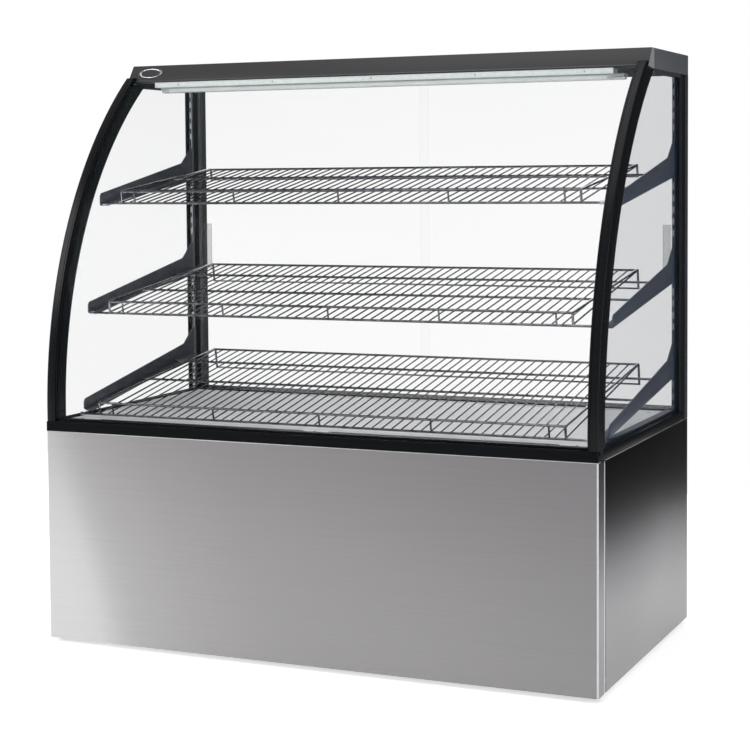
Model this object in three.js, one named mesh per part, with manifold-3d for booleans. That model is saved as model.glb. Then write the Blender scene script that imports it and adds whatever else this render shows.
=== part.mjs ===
// A refrigerated deli display case with a curved glass front, three tilted wire shelves,
// sliding rear doors and a stainless steel base that holds the cooling machine.
// Millimetres. +Z up, -Y is the customer's side, +X is the customer's right.
// The origin is on the floor, under the middle of the case.
import * as THREE from "three";
import { mergeVertices } from "three/addons/utils/BufferGeometryUtils.js";
import Module from "manifold-3d";

const wasm = await Module();
wasm.setup();

// ---------- driving dimensions ----------
const width = 1200;
const depth = 680;
const height = 1233;
const gap = 0.3; // between pieces that touch

// steel base
const floorGap = 10; // the levelling feet hold the panels this far off the floor
const panelHeight = 440;
const sheet = 1.5;
const cornerRadius = 3;
const frontReturn = 50; // the front panel wraps this far round each corner
const flange = 18;
const rearInset = 10; // the service panel sits this far in from the back
const louvre = { width: 90, height: 8, columns: 3, rows: 8, pitchX: 110, pitchZ: 24, firstZ: 110 };
const panFloor = 24;
const panRim = 26;
const footInset = 60;
const footRadius = 20;
const footPlate = 8;
const stemRadius = 6;
const stemLength = 44;

// black rails and curved frames
const railHeight = 20;
const railLip = 5; // the inner lip stands this much higher
const railDepth = 32;
const sideRailWidth = 30;
const grooveDepth = 9;
const arcRise = 19; // the curve's centre is this far above the rail
const canopySetback = 379; // how far the curve has come back at the full height
const frameWidth = 20;
const frameDepth = 45;
const frameOverlap = 8; // the frame's tip stands up in front of the fascia

// glass
const glassInset = 6; // the front pane lies this far inside the frames' face
const frontGlass = 6;
const sideGlass = 5;
const sideGlassInset = 5;
const doorGlass = 5;
const grooveClear = 0.6;
const curveSteps = 22; // flats along the front curve

// rear posts, jambs and sill
const postWidth = 18;
const postDepth = 36;
const postSlotWidth = 4.4;
const postSlotInset = 12.3;
const postSlotDepth = 12;
const postTrimWidth = 14;
const postTrimDepth = 9;
const jambDepth = 25;
const sillLip = 12;
const trackWidth = 50;
const trackHeight = 12;
const trackGroove = 8;
const trackPitch = 20;
const doorOverlap = 30;
const doorClear = 2;

// canopy
const canopyHeight = 42;
const fasciaRun = 26;
const fasciaRise = 36.5;
const fasciaThick = 2;
const fasciaClear = 1.5; // the front pane's top edge passes this far in front of the fascia
const paneUnder = 2; // and ends this far below its foot
const fasciaLipWidth = 38;
const cornerBack = 8; // the frame's top levels off this far before its inner face
const glassChannel = 8;
const channelClear = 1.5; // between the channel's end and the curved frame
const badgeWidth = 60;
const badgeHeight = 26;
const badgeThick = 1.2;
const badgeInset = 52;

// lamp
const lampSide = 71;
const lampWidth = 28;
const lampHousing = 11.5;
const lampDiffuser = 12;
const lampWall = 3;

// shelves and brackets
const shelfSlope = 0.172;
const deckWire = 3;
const wirePitch = 21;
const frameWire = 5;
const deckSide = 85; // deck edge to the case's side
const supportSide = 28; // end of a support wire to the case's side
const frontWireSide = 39;
const shelfRail = 25;
const postPitch = 241;
const supportBack = [95, 250];
const bracketSheet = 3;
const bracketSide = 13;
const bracketKink = 55;
const bracketKinkHeight = 48;
const bracketLowSlope = 0.13;
const bracketTopSlope = 0.186;
const bracketHookSlope = 0.8;
const bracketUnder = 29;
const bracketHook = 10;
const ledgeWidth = 18;
const ledgeShort = 24; // from the rear post's front
const topShelfDrop = 265; // the top shelf's front wire below the canopy
const bottomShelfRise = 10;
const middleShelfDrop = 11;
const shelves = {
  top: { glassGap: 52, rearGap: 39, rearLeg: 24, bracketShort: 25 },
  middle: { glassGap: 86, rearGap: 34, rearLeg: 40, bracketShort: 25 },
  bottom: { glassGap: 63, rearGap: 27, rearLeg: 44, bracketShort: 48 },
};

// cold deck and cooling parts
const deckSheet = 1.5;
const slotWidth = 30;
const slotFromRail = 4;
const slotSide = 60;
const slotBridge = 52;
const tubWall = 25;
const tubDepth = 120;
const tubSide = 30;
const ventWidth = 8;
const ventPitch = 92;
const ventLength = 76;
const compressorRadius = 78;
const compressorHeight = 196;
const condenserWidth = 300;
const condenserHeight = 210;
const condenserDepth = 58;
const fanRadius = 92;
const coldFanRadius = 42;
const drainSide = 90;
const drainWidth = 240;
const drainDepth = 230;
const drainHeight = 44;
const trayClear = 1.5;
const controlSide = 70;
const controlDrop = 30;
const controlWidth = 190;
const controlHeight = 64;

// ---------- planes worked out from them ----------
const side = width / 2;
const front = -depth / 2;
const rear = depth / 2;
const baseTop = floorGap + panelHeight;
const railTop = baseTop + railHeight;
const arcZ = railTop + arcRise;
const curveHeight = height - arcZ;
const outerRadius = (curveHeight ** 2 + canopySetback ** 2) / (2 * canopySetback);
const arcY = front + outerRadius;
const canopyBottom = height - canopyHeight;
const fasciaBottomZ = height - fasciaRise;
const jambFront = rear - jambDepth;
const postBack = jambFront - gap;
const postFront = postBack - postDepth;
const trimFront = postFront - postTrimDepth;
const doorway = side - postWidth;
const paneOut = side - sideGlassInset; // outer face of a side pane
const paneIn = paneOut - sideGlass;
const slope = Math.atan(shelfSlope);

// Y of the curve's surface at a height, for a surface that lies inset from the frames' face.
const curveY = (z, inset = 0) => arcY - Math.sqrt((outerRadius - inset) ** 2 - (z - arcZ) ** 2);
const curveAngle = (z, inset) => Math.asin((z - arcZ) / (outerRadius - inset));
const cornerY = curveY(canopyBottom, frameDepth); // where the frames' inner face meets the canopy
const paneTopZ = fasciaBottomZ - paneUnder;
const fasciaBottomY = curveY(paneTopZ, glassInset + frontGlass) + fasciaClear;
const fasciaTopY = fasciaBottomY + fasciaRun;

// ---------- solids ----------
function solid(geometry) {
  geometry.deleteAttribute("normal");
  geometry.deleteAttribute("uv");
  const merged = mergeVertices(geometry, 1e-4);
  return new wasm.Manifold(new wasm.Mesh({
    numProp: 3,
    vertProperties: merged.attributes.position.array,
    triVerts: new Uint32Array(merged.index.array),
  }));
}

const join = (...bodies) => bodies.reduce((whole, body) => whole.add(body));
const cut = (whole, ...bodies) => bodies.reduce((left, body) => left.subtract(body), whole);

function box([x0, x1], [y0, y1], [z0, z1]) {
  const block = new THREE.BoxGeometry(x1 - x0, y1 - y0, z1 - z0);
  block.translate((x0 + x1) / 2, (y0 + y1) / 2, (z0 + z1) / 2);
  return solid(block);
}

const opening = (a, b, grow) => [a - grow, b + grow];
const around = (middle, half) => [middle - half, middle + half];

const outline = (points) => new THREE.Shape(points.map(([a, b]) => new THREE.Vector2(a, b)));
const unit = { x: [1, 0, 0], y: [0, 1, 0], z: [0, 0, 1], minusY: [0, -1, 0] };

function prism(shape, length, along, across, up, shift, steps) {
  const settings = { depth: length, bevelEnabled: false, curveSegments: steps };
  const body = new THREE.ExtrudeGeometry(shape, settings);
  const basis = [along, across, up].map((axis) => new THREE.Vector3(...axis));
  body.applyMatrix4(new THREE.Matrix4().makeBasis(...basis));
  body.translate(...shift);
  return solid(body);
}

// An outline in (y, z), (x, z) or (x, y), run between two planes across it.
const prismX = (shape, [x0, x1], steps = 6) =>
  prism(shape, x1 - x0, unit.y, unit.z, unit.x, [x0, 0, 0], steps);
const prismY = (shape, [y0, y1], steps = 6) =>
  prism(shape, y1 - y0, unit.x, unit.z, unit.minusY, [0, y1, 0], steps);
const prismZ = (shape, [z0, z1], steps = 6) =>
  prism(shape, z1 - z0, unit.x, unit.y, unit.z, [0, 0, z0], steps);

function roundedRect(w, h, r, cx = 0, cy = 0) {
  const shape = new THREE.Shape();
  const [x, y] = [w / 2 - r, h / 2 - r];
  shape.absarc(cx + x, cy + y, r, 0, Math.PI / 2);
  shape.absarc(cx - x, cy + y, r, Math.PI / 2, Math.PI);
  shape.absarc(cx - x, cy - y, r, Math.PI, 1.5 * Math.PI);
  shape.absarc(cx + x, cy - y, r, 1.5 * Math.PI, 2 * Math.PI);
  return shape;
}

function disc(radius, cx = 0, cy = 0) {
  const shape = new THREE.Shape();
  shape.absarc(cx, cy, radius, 0, 2 * Math.PI);
  return shape;
}

// A ring sector round the curve's centre, between two insets and two heights.
function curvedBar(insetOut, insetIn, [zLow, zHigh], xs, steps = curveSteps) {
  const arc = (inset, from, to) => {
    const [start, end] = [curveAngle(from, inset), curveAngle(to, inset)];
    return Array.from({ length: steps + 1 }, (_, i) => {
      const angle = start + ((end - start) * i) / steps;
      const r = outerRadius - inset;
      return [arcY - r * Math.cos(angle), arcZ + r * Math.sin(angle)];
    });
  };
  return prismX(outline([...arc(insetOut, zLow, zHigh), ...arc(insetIn, zHigh, zLow)]), xs);
}

// ---------- finishes ----------
const finish = (color, roughness, metalness, opacity = 1) => () =>
  new THREE.MeshStandardMaterial({ color, roughness, metalness, opacity, transparent: opacity < 1 });
const brushedSteel = finish("#b4b2b3", 0.32, 1);
const satinSteel = finish("#c9cacb", 0.4, 1);
const blackAluminium = finish("#15161a", 0.28, 0.2);
const charcoalSteel = finish("#3b3b3b", 0.42, 0.3);
const greySteel = finish("#6a6e72", 0.38, 0.8);
const clearGlass = finish("#e8f2f0", 0.03, 0, 0.2);
const lampWhite = finish("#eef3f1", 0.4, 0.1);
const chromeWire = finish("#8f8c90", 0.25, 1);
const bracketSteel = finish("#4b4c52", 0.35, 0.8);
const blackPlastic = finish("#1c1d1f", 0.5, 0);
const copper = finish("#a86b4a", 0.35, 1);
const finAluminium = finish("#b9bcbf", 0.45, 1);
const motorBlack = finish("#202225", 0.5, 0.3);
const galvanised = finish("#8e9296", 0.5, 0.9);
const whitePlastic = finish("#dfe1e0", 0.45, 0);

const display = new THREE.Group();
const base = new THREE.Group();
const cooling = new THREE.Group();
const root = new THREE.Group();
root.add(base, display, cooling);

function part(group, name, body, material, place = [0, 0, 0]) {
  const mesh = body.getMesh();
  const geometry = new THREE.BufferGeometry();
  geometry.setAttribute("position", new THREE.BufferAttribute(new Float32Array(mesh.vertProperties), 3));
  geometry.setIndex(new THREE.BufferAttribute(new Uint32Array(mesh.triVerts), 1));
  const made = new THREE.Mesh(geometry, material());
  made.name = name;
  made.position.set(...place);
  group.add(made);
  return made;
}

// The right-hand piece and its mirror image.
function pair(group, name, body, material) {
  part(group, name + "_right", body, material);
  part(group, name + "_left", body, material).scale.x = -1;
}

// ---------- steel base ----------
const panelZ = [floorGap, baseTop];

function frontPanel() {
  const wrap = new THREE.Shape();
  const [back, r] = [front + frontReturn, cornerRadius];
  const inner = r - sheet;
  wrap.moveTo(-side, back);
  wrap.lineTo(-side, front + r);
  wrap.absarc(-side + r, front + r, r, Math.PI, 1.5 * Math.PI);
  wrap.absarc(side - r, front + r, r, 1.5 * Math.PI, 2 * Math.PI);
  wrap.lineTo(side, back);
  wrap.lineTo(side - sheet, back);
  wrap.absarc(side - r, front + r, inner, 2 * Math.PI, 1.5 * Math.PI, true);
  wrap.absarc(-side + r, front + r, inner, 1.5 * Math.PI, Math.PI, true);
  wrap.lineTo(-side + sheet, back);
  const skin = prismZ(wrap, panelZ, 3);
  const lip = (z) => box([-side + r, side - r], [front + sheet / 2, front + flange], [z, z + sheet]);
  return join(skin, lip(floorGap), lip(baseTop - sheet));
}

// A sheet folded inwards along its foot, its head and its back edge.
function sidePanel() {
  const ys = [front + frontReturn + gap, rear];
  const block = box([side - flange, side], ys, panelZ);
  const hollow = box([side - flange - 1, side - sheet], [ys[0] - 1, rear - sheet],
    [floorGap + sheet, baseTop - sheet]);
  return cut(block, hollow);
}

const serviceY = [rear - rearInset - sheet, rear - rearInset];
const drainX = [side - drainSide - drainWidth, side - drainSide];
const drainZ = [panFloor + gap, panFloor + gap + drainHeight];
const controlX = [-side + controlSide, -side + controlSide + controlWidth];
const controlZ = [baseTop - controlDrop - controlHeight, baseTop - controlDrop];

const footX = side - footInset;
const footY = rear - footInset;
const footPlaces = [-1, 1].flatMap((sy) => [-1, 1].map((sx) => [sx, sy]));

function basePan() {
  const ys = [front + flange + gap, rear - rearInset - sheet - gap];
  const halfX = side - flange - gap;
  const tray = box([-halfX, halfX], ys, [panFloor - sheet, panFloor + panRim]);
  const hollow = box([-halfX + sheet, halfX - sheet], [ys[0] + sheet, ys[1] - sheet], [panFloor, height]);
  const stemHole = stemRadius + 2 * grooveClear;
  const holes = footPlaces.map(([sx, sy]) =>
    prismZ(disc(stemHole, sx * footX, sy * footY), [0, panFloor + 1], 6));
  const trayWay = box(opening(...drainX, trayClear), [ys[1] - 2 * sheet, rear], [panFloor, height]);
  return cut(tray, hollow, trayWay, ...holes);
}

function levellingFoot() {
  const profile = [
    [0, 0],
    [footRadius, 0],
    [footRadius, footPlate * 0.6],
    [footRadius * 0.6, footPlate],
    [stemRadius, footPlate],
    [stemRadius, stemLength],
    [0, stemLength],
  ];
  const turned = new THREE.LatheGeometry(profile.map(([r, z]) => new THREE.Vector2(r, z)), 16);
  turned.rotateX(Math.PI / 2);
  return solid(turned);
}

// The service panel behind the machine: louvres, the control opening and the drain tray's opening.
function servicePanel() {
  const halfX = side - sheet - 2 * gap;
  const plate = box([-halfX, halfX], serviceY, [floorGap + 2, baseTop - sheet - gap]);
  const through = [serviceY[0] - 1, serviceY[1] + 1];
  const louvres = [];
  for (let row = 0; row < louvre.rows; row += 1) {
    for (let column = 0; column < louvre.columns; column += 1) {
      const x = (column - (louvre.columns - 1) / 2) * louvre.pitchX;
      const z = louvre.firstZ + row * louvre.pitchZ;
      louvres.push(box(around(x, louvre.width / 2), through, around(z, louvre.height / 2)));
    }
  }
  const tray = box(opening(...drainX, trayClear), through, [floorGap, drainZ[1] + trayClear]);
  const control = box(opening(...controlX, 1), through, opening(...controlZ, 1));
  return cut(plate, tray, control, ...louvres);
}

part(base, "front_panel", frontPanel(), brushedSteel);
pair(base, "side_panel", sidePanel(), brushedSteel);
part(base, "base_pan", basePan(), galvanised);
part(base, "service_panel", servicePanel(), brushedSteel);
for (const [sx, sy] of footPlaces) {
  const name = "foot_" + (sy < 0 ? "front" : "rear") + (sx < 0 ? "_left" : "_right");
  part(base, name, levellingFoot(), blackPlastic, [sx * footX, sy * footY, 0]);
}

// ---------- rails on top of the base ----------
const railZ = baseTop + gap;
const grooveZ = railTop - grooveDepth;
const paneGroove = [glassInset - grooveClear, glassInset + frontGlass + grooveClear]; // insets
const sideGroove = [paneIn - grooveClear, paneOut + grooveClear];
const railBack = front + railDepth;

function frontRail() {
  const bar = box([-side, side], [front, railBack], [railZ, railTop]);
  const between = side - frameWidth - 2 * gap;
  const lip = box([-between, between], [front + paneGroove[1], railBack], [railTop - 1, railTop + railLip]);
  const groove = curvedBar(...paneGroove, [grooveZ, railTop + 2 * railLip], [-side - 1, side + 1], 4);
  return cut(join(bar, lip), groove);
}

function sideRail() {
  const bar = box([side - sideRailWidth, side], [railBack + gap, postFront - gap], [railZ, railTop]);
  const lipY = [front + frameDepth + 2 * gap, trimFront - gap];
  const lip = box([side - sideRailWidth, sideGroove[0]], lipY, [railTop - 1, railTop + railLip]);
  return cut(join(bar, lip), box(sideGroove, [front, trimFront + grooveDepth], [grooveZ, height]));
}

function rearSill() {
  const halfX = doorway - gap;
  const between = Math.min(halfX, side - sideRailWidth - gap);
  const underTrack = railTop + railLip - trackHeight - gap;
  const bar = box([-halfX, halfX], [postFront, rear], [railZ, underTrack]);
  const step = box([-between, between], [postFront - sillLip, postFront + 1], [railZ, underTrack]);
  const lipY = [postFront - sillLip, postFront - 2 * gap];
  const lip = box([-between, between], lipY, [railZ, railTop + railLip]);
  return join(bar, step, lip);
}

part(display, "base_rail_front", frontRail(), blackAluminium);
pair(display, "base_rail", sideRail(), blackAluminium);
part(display, "rear_sill", rearSill(), blackAluminium);

// ---------- canopy ----------
const fasciaSlant = Math.hypot(fasciaRun, fasciaRise);
const fasciaNormal = [-fasciaRise / fasciaSlant, fasciaRun / fasciaSlant];
const backOf = ([y, z], t) => [y - fasciaNormal[0] * t, z - fasciaNormal[1] * t];
const fasciaFoot = [fasciaBottomY, fasciaBottomZ];
const fasciaHead = [fasciaTopY, height];
const underTop = [height - 2 * sheet - gap, height - sheet - gap]; // lips that carry the top sheet

function fascia() {
  const backFoot = backOf(fasciaFoot, fasciaThick);
  const backHead = backOf(fasciaHead, fasciaThick);
  const face = prismX(outline([fasciaFoot, backFoot, backHead, fasciaHead]), [-side, side]);
  const inner = side - sheet - 2 * gap;
  const low = backOf(fasciaFoot, fasciaThick / 2);
  const lowLip = box([-inner, inner], [low[0], low[0] + fasciaLipWidth], [low[1] - fasciaThick, low[1]]);
  const high = backOf(fasciaHead, fasciaThick / 2);
  const highLip = box([-inner, inner], [high[0], high[0] + flange], underTop);
  return join(face, lowLip, highLip);
}

function canopyEnd() {
  const foot = backOf(fasciaFoot, fasciaThick + gap);
  const head = backOf(fasciaHead, fasciaThick + gap);
  const cheek = outline([
    foot,
    [cornerY + gap, canopyBottom],
    [rear, canopyBottom],
    [rear, height],
    [head[0] + 1, height],
    head,
  ]);
  const skin = prismX(cheek, [side - sheet, side]);
  const shelf = canopyBottom - glassChannel;
  const channelShape = outline([
    [curveY(shelf, frameDepth) + channelClear, shelf],
    [trimFront - gap, shelf],
    [trimFront - gap, canopyBottom + 1],
    [curveY(canopyBottom + 1, frameDepth) + channelClear, canopyBottom + 1],
  ]);
  const channel = prismX(channelShape, [side - postTrimWidth, side]);
  const groove = box(sideGroove, [front, rear], [shelf - 1, canopyBottom - sheet]);
  const topLip = box([side - flange, side], [fasciaTopY + 1.5 * flange, rear - 2 * flange / 3], underTop);
  return join(cut(channel, groove), skin, topLip);
}

function canopyTop() {
  const halfX = side - sheet - gap;
  const start = backOf(fasciaHead, fasciaThick)[0] + 1.5;
  const top = box([-halfX, halfX], [start, rear], [height - sheet, height]);
  const back = box([-halfX, halfX], [rear - sheet, rear], [canopyBottom, height]);
  return join(top, back);
}

function badge() {
  const oval = new THREE.Shape();
  oval.absellipse(0, 0, badgeWidth / 2, badgeHeight / 2, 0, 2 * Math.PI);
  const settings = { depth: badgeThick, bevelEnabled: false, curveSegments: 16 };
  return solid(new THREE.ExtrudeGeometry(oval, settings));
}

part(display, "canopy_fascia", fascia(), charcoalSteel);
part(display, "canopy_top", canopyTop(), charcoalSteel);
pair(display, "canopy_end", canopyEnd(), greySteel);

const badgeAt = [0, 1].map((i) => (fasciaFoot[i] + fasciaHead[i]) / 2 + fasciaNormal[i] * gap);
part(display, "badge_plate", badge(), chromeWire, [-side + badgeInset, ...badgeAt])
  .rotation.x = Math.atan2(fasciaRise, fasciaRun);

// ---------- curved frames and glass ----------
const canopyShadow = outline([
  [fasciaFoot[0] - 2 * gap, fasciaFoot[1] - 2 * fasciaThick],
  [fasciaFoot[0] - 2 * gap, fasciaFoot[1] - gap],
  [fasciaHead[0] - 2 * gap, height + 1],
  [rear + 1, height + 1],
  [rear + 1, canopyBottom - gap],
  [cornerY - cornerBack, canopyBottom - gap],
]);
const frameTipZ = fasciaBottomZ + frameOverlap;

function endFrame() {
  const bar = curvedBar(0, frameDepth, [railTop + gap, frameTipZ], [side - frameWidth, side]);
  const frontX = [side - frameWidth - 1, side - frameWidth + grooveDepth + gap];
  const frontGroove = curvedBar(...paneGroove, [grooveZ, frameTipZ + 5], frontX);
  const backZ = [grooveZ, canopyBottom + 5];
  const backGroove = curvedBar(frameDepth - grooveDepth, frameDepth + 5, backZ, sideGroove);
  return cut(bar, frontGroove, backGroove, prismX(canopyShadow, [side - frameWidth - 2, side + 2]));
}

function frontPane() {
  const reach = side - frameWidth + grooveDepth - gap;
  const span = [grooveZ + gap, paneTopZ];
  return curvedBar(glassInset, glassInset + frontGlass, span, [-reach, reach]);
}

function sidePane() {
  const edgeInset = frameDepth - grooveDepth + grooveClear;
  const [zLow, zHigh] = [grooveZ + gap, canopyBottom - sheet - grooveClear];
  const points = Array.from({ length: curveSteps + 1 }, (_, i) => {
    const z = zLow + ((zHigh - zLow) * i) / curveSteps;
    return [curveY(z, edgeInset), z];
  });
  const backEdge = trimFront + grooveDepth - grooveClear;
  points.push([backEdge, zHigh], [backEdge, zLow]);
  return prismX(outline(points), [paneIn, paneOut]);
}

pair(display, "end_frame", endFrame(), blackAluminium);
part(display, "front_glass", frontPane(), clearGlass);
pair(display, "side_glass", sidePane(), clearGlass);

// ---------- rear posts and sliding doors ----------
function rearPost() {
  const column = box([doorway, side], [postFront, postBack], [railZ, canopyBottom - gap]);
  const trimZ = [railTop + gap, canopyBottom - gap];
  const trim = box([side - postTrimWidth, side], [trimFront, postFront + 1], trimZ);
  const slotX = [side - postSlotInset - postSlotWidth, side - postSlotInset];
  const slot = box(slotX, [trimFront - 1, postFront + postSlotDepth], [railTop, height]);
  const groove = box(sideGroove, [trimFront - 1, trimFront + grooveDepth], [railTop, height]);
  const reveal = box([side - 1.5, side + 1], around(postFront, 1.5), [railTop + railLip, height]);
  return cut(join(column, trim), slot, groove, reveal);
}

const jamb = box([doorway, side], [jambFront, rear], [railZ, canopyBottom - gap]);
const trackY = [rear - trackWidth - 6, rear - 6];
const trackMiddle = (trackY[0] + trackY[1]) / 2;
const trackLine = { left: trackMiddle - trackPitch / 2, right: trackMiddle + trackPitch / 2 };
const lowTrackZ = [railTop + railLip - trackHeight, railTop + railLip];
const highTrackZ = [canopyBottom + 2, canopyBottom + 22];

function doorTrack([z0, z1], openUp) {
  const halfX = doorway - 2 * gap;
  const bar = box([-halfX, halfX], trackY, [z0, z1]);
  const grooves = Object.values(trackLine).map((y) => {
    const ys = [y - trackGroove / 2, y + trackGroove / 2];
    return box([-side, side], ys, openUp ? [z0 + 3, z1 + 1] : [z0 - 1, z1 - 3]);
  });
  return cut(bar, ...grooves);
}

function slidingDoor(which) {
  const y = trackLine[which];
  const xs = [-doorway + doorClear, doorOverlap / 2];
  const zs = [lowTrackZ[0] + 3 + grooveClear, canopyBottom + 14];
  return box(xs, [y - doorGlass / 2, y + doorGlass / 2], zs);
}

function doorPull(which) {
  const grip = new THREE.Shape();
  const back = trackLine[which] + doorGlass / 2 + gap;
  const at = -doorway + 24;
  grip.absarc(at, back, 9, 0, Math.PI);
  return prismZ(grip, [railTop + 290, railTop + 400], 5);
}

pair(display, "rear_post", rearPost(), blackAluminium);
pair(display, "rear_jamb", jamb, satinSteel);
part(display, "door_track_bottom", doorTrack(lowTrackZ, true), blackAluminium);
part(display, "door_track_top", doorTrack(highTrackZ, false), satinSteel);
part(display, "door_left", slidingDoor("left"), clearGlass);
part(display, "door_right", slidingDoor("right"), clearGlass).scale.x = -1;
part(display, "door_pull_left", doorPull("left"), clearGlass);
part(display, "door_pull_right", doorPull("right"), clearGlass).scale.x = -1;

// ---------- lamp ----------
const lampY = fasciaBottomY + fasciaThick + lampWidth / 2 - 4;
const lampTop = fasciaBottomZ - 1.5 * fasciaThick - 2 * gap;

function lampBody() {
  const halfX = side - lampSide;
  const ys = [lampY - lampWidth / 2, lampY + lampWidth / 2];
  const channel = box([-halfX, halfX], ys, [lampTop - lampHousing, lampTop]);
  const inside = [lampTop - lampHousing - 1, lampTop - lampWall];
  return cut(channel, box([-halfX + lampWall, halfX - lampWall], opening(...ys, -lampWall), inside));
}

function lampLens() {
  const halfX = side - lampSide;
  const [top, r] = [lampTop - lampHousing - gap, lampWidth / 2 - 2];
  const low = top - lampDiffuser;
  const lens = outline([
    [-halfX + 14, top],
    [-halfX + 14, low + 5],
    [-halfX + 26, low],
    [halfX + 12, low],
    [halfX + 22, low + 4],
    [halfX + 22, top],
  ]);
  return prismY(lens, [lampY - r, lampY + r]);
}

part(display, "lamp_housing", lampBody(), lampWhite);
part(display, "lamp_diffuser", lampLens(), clearGlass);

// ---------- wire shelves ----------
const topFrontZ = canopyBottom - topShelfDrop;
const bottomFrontZ = railTop + bottomShelfRise;
const frontZ = {
  top: topFrontZ,
  middle: (topFrontZ + bottomFrontZ) / 2 - middleShelfDrop,
  bottom: bottomFrontZ,
};

// The shelf is made flat, from its front wire back along +Y, and tilted when it is placed.
function wireShelf(run, rearLeg) {
  const deckHalf = side - deckSide;
  const w = frameWire / 2;
  const deckZ = [1, 1 + deckWire];
  const plate = box([-deckHalf - w, deckHalf + w], [-w, run + w], deckZ);
  const count = Math.round((2 * deckHalf) / wirePitch);
  const pitch = (2 * deckHalf) / count;
  const spaces = Array.from({ length: count }, (_, i) => {
    const x = -deckHalf + i * pitch;
    const [before, after] = [i ? deckWire / 2 : w, i < count - 1 ? deckWire / 2 : w];
    return box([x + before, x + pitch - after], [w, run - w], [0, deckZ[1] + 1]);
  });
  const wireX = (half, y, z) => box([-half, half], around(y, w), around(z, w));
  const supportZ = deckZ[0] - w - gap;
  const supports = supportBack.map((back) => wireX(side - supportSide, run - back, supportZ));
  const weld = (sx, back) =>
    box(around(sx * deckHalf, w), around(run - back, w), [supportZ, deckZ[1]]);
  const welds = supportBack.flatMap((back) => [weld(-1, back), weld(1, back)]);
  const low = wireX(side - frontWireSide, 0, 0);
  const upper = wireX(deckHalf + w, 0, shelfRail);
  const back = run + w;
  const sidePoints = [[-w, shelfRail - w], [back, deckZ[0]], [back, deckZ[1] + 2], [-w, shelfRail + w]];
  const sideWire = (sx) => {
    const x = sx * deckHalf;
    const rail = prismX(outline(sidePoints), around(x, w));
    const leg = box(around(x, w), around(run, w), [-rearLeg, deckZ[1]]);
    return join(rail, leg, box(around(x, w), around(0, w), [0, shelfRail]));
  };
  const clip = (sx) => box(around(sx * (side - frontWireSide - 4), 5), [-4, 4], [-4, 4]);
  const posts = [];
  for (let x = -Math.floor(deckHalf / postPitch) * postPitch; x < deckHalf; x += postPitch) {
    posts.push(box(around(x, deckWire / 2), around(0, deckWire / 2), [0, shelfRail]));
  }
  const sides = [-1, 1].flatMap((sx) => [sideWire(sx), clip(sx)]);
  return join(cut(plate, ...spaces), ...supports, ...welds, low, upper, ...sides, ...posts);
}

// A tapered arm that hooks into the rear post, with a ledge inside it for the support wires.
function bracket(frontY, z, short) {
  const deckAt = (y) => z + shelfSlope * (y - frontY);
  const tip = frontY + short;
  const kink = postFront - bracketKink;
  const low = (y) => deckAt(postFront) - bracketUnder - bracketLowSlope * (postFront - y);
  const kinkTop = low(kink) + bracketKinkHeight;
  const hookY = postFront + bracketHook;
  const web = outline([
    [tip, low(tip)],
    [hookY, low(hookY)],
    [hookY, kinkTop + bracketHookSlope * (hookY - kink)],
    [kink, kinkTop],
    [tip + 5, kinkTop - bracketTopSlope * (kink - tip - 5)],
    [tip, kinkTop - bracketTopSlope * (kink - tip) - 5],
  ]);
  const webX = [side - bracketSide - bracketSheet, side - bracketSide];
  const drop = 1.5 * frameWire + 2 * gap;
  const ledgeTop = (y) => deckAt(y) - drop;
  const ledgeEnd = postFront - ledgeShort;
  const ledge = outline([
    [tip + 4, ledgeTop(tip + 4) - bracketSheet],
    [ledgeEnd, ledgeTop(ledgeEnd) - bracketSheet],
    [ledgeEnd, ledgeTop(ledgeEnd)],
    [tip + 4, ledgeTop(tip + 4)],
  ]);
  return join(prismX(web, webX), prismX(ledge, [webX[0] - ledgeWidth, webX[0] + 1]));
}

for (const [name, { glassGap, rearGap, rearLeg, bracketShort }] of Object.entries(shelves)) {
  const z = frontZ[name];
  const frontY = curveY(z, glassInset + frontGlass) + glassGap;
  const run = (postFront - rearGap - frontY) / Math.cos(slope);
  part(display, "shelf_" + name, wireShelf(run, rearLeg), chromeWire, [0, frontY, z]).rotation.x = slope;
  pair(display, "bracket_" + name, bracket(frontY, z, bracketShort), bracketSteel);
}

// ---------- cold deck and well ----------
const deckTop = railTop + 2;
const deckEdge = side - sideRailWidth - gap;
const deckY = [railBack + gap, postFront - sillLip - gap];

function coldDeck() {
  const top = box([-deckEdge, deckEdge], deckY, [deckTop - deckSheet, deckTop]);
  const skirt = box([-deckEdge, deckEdge], deckY, [railZ, deckTop]);
  const inside = deckEdge - deckSheet;
  const under = box([-inside, inside], opening(...deckY, -deckSheet), [0, deckTop - deckSheet]);
  const slotY = deckY[0] + slotFromRail + slotWidth / 2;
  const slotLength = deckEdge - slotBridge / 2 - slotSide;
  const airSlot = (sx) => {
    const middle = sx * (slotBridge / 2 + slotLength / 2);
    return prismZ(roundedRect(slotLength, slotWidth, 12, middle, slotY), [0, height], 3);
  };
  const vents = [];
  for (let i = -5; i <= 5; i += 1) {
    const vent = roundedRect(ventLength, ventWidth, 3.9, i * ventPitch, deckY[1] - 20);
    vents.push(prismZ(vent, [0, height], 1));
  }
  return cut(join(top, cut(skirt, under)), airSlot(-1), airSlot(1), ...vents);
}

const tubX = side - tubSide;
const tubY = [front + tubSide, postFront - sillLip - gap];
const tubZ = [baseTop - tubDepth, baseTop - sheet - gap];

function coldTub() {
  const block = box([-tubX, tubX], tubY, tubZ);
  const hollowX = [-tubX + tubWall, tubX - tubWall];
  return cut(block, box(hollowX, opening(...tubY, -tubWall), [tubZ[0] + tubWall, height]));
}

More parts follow.
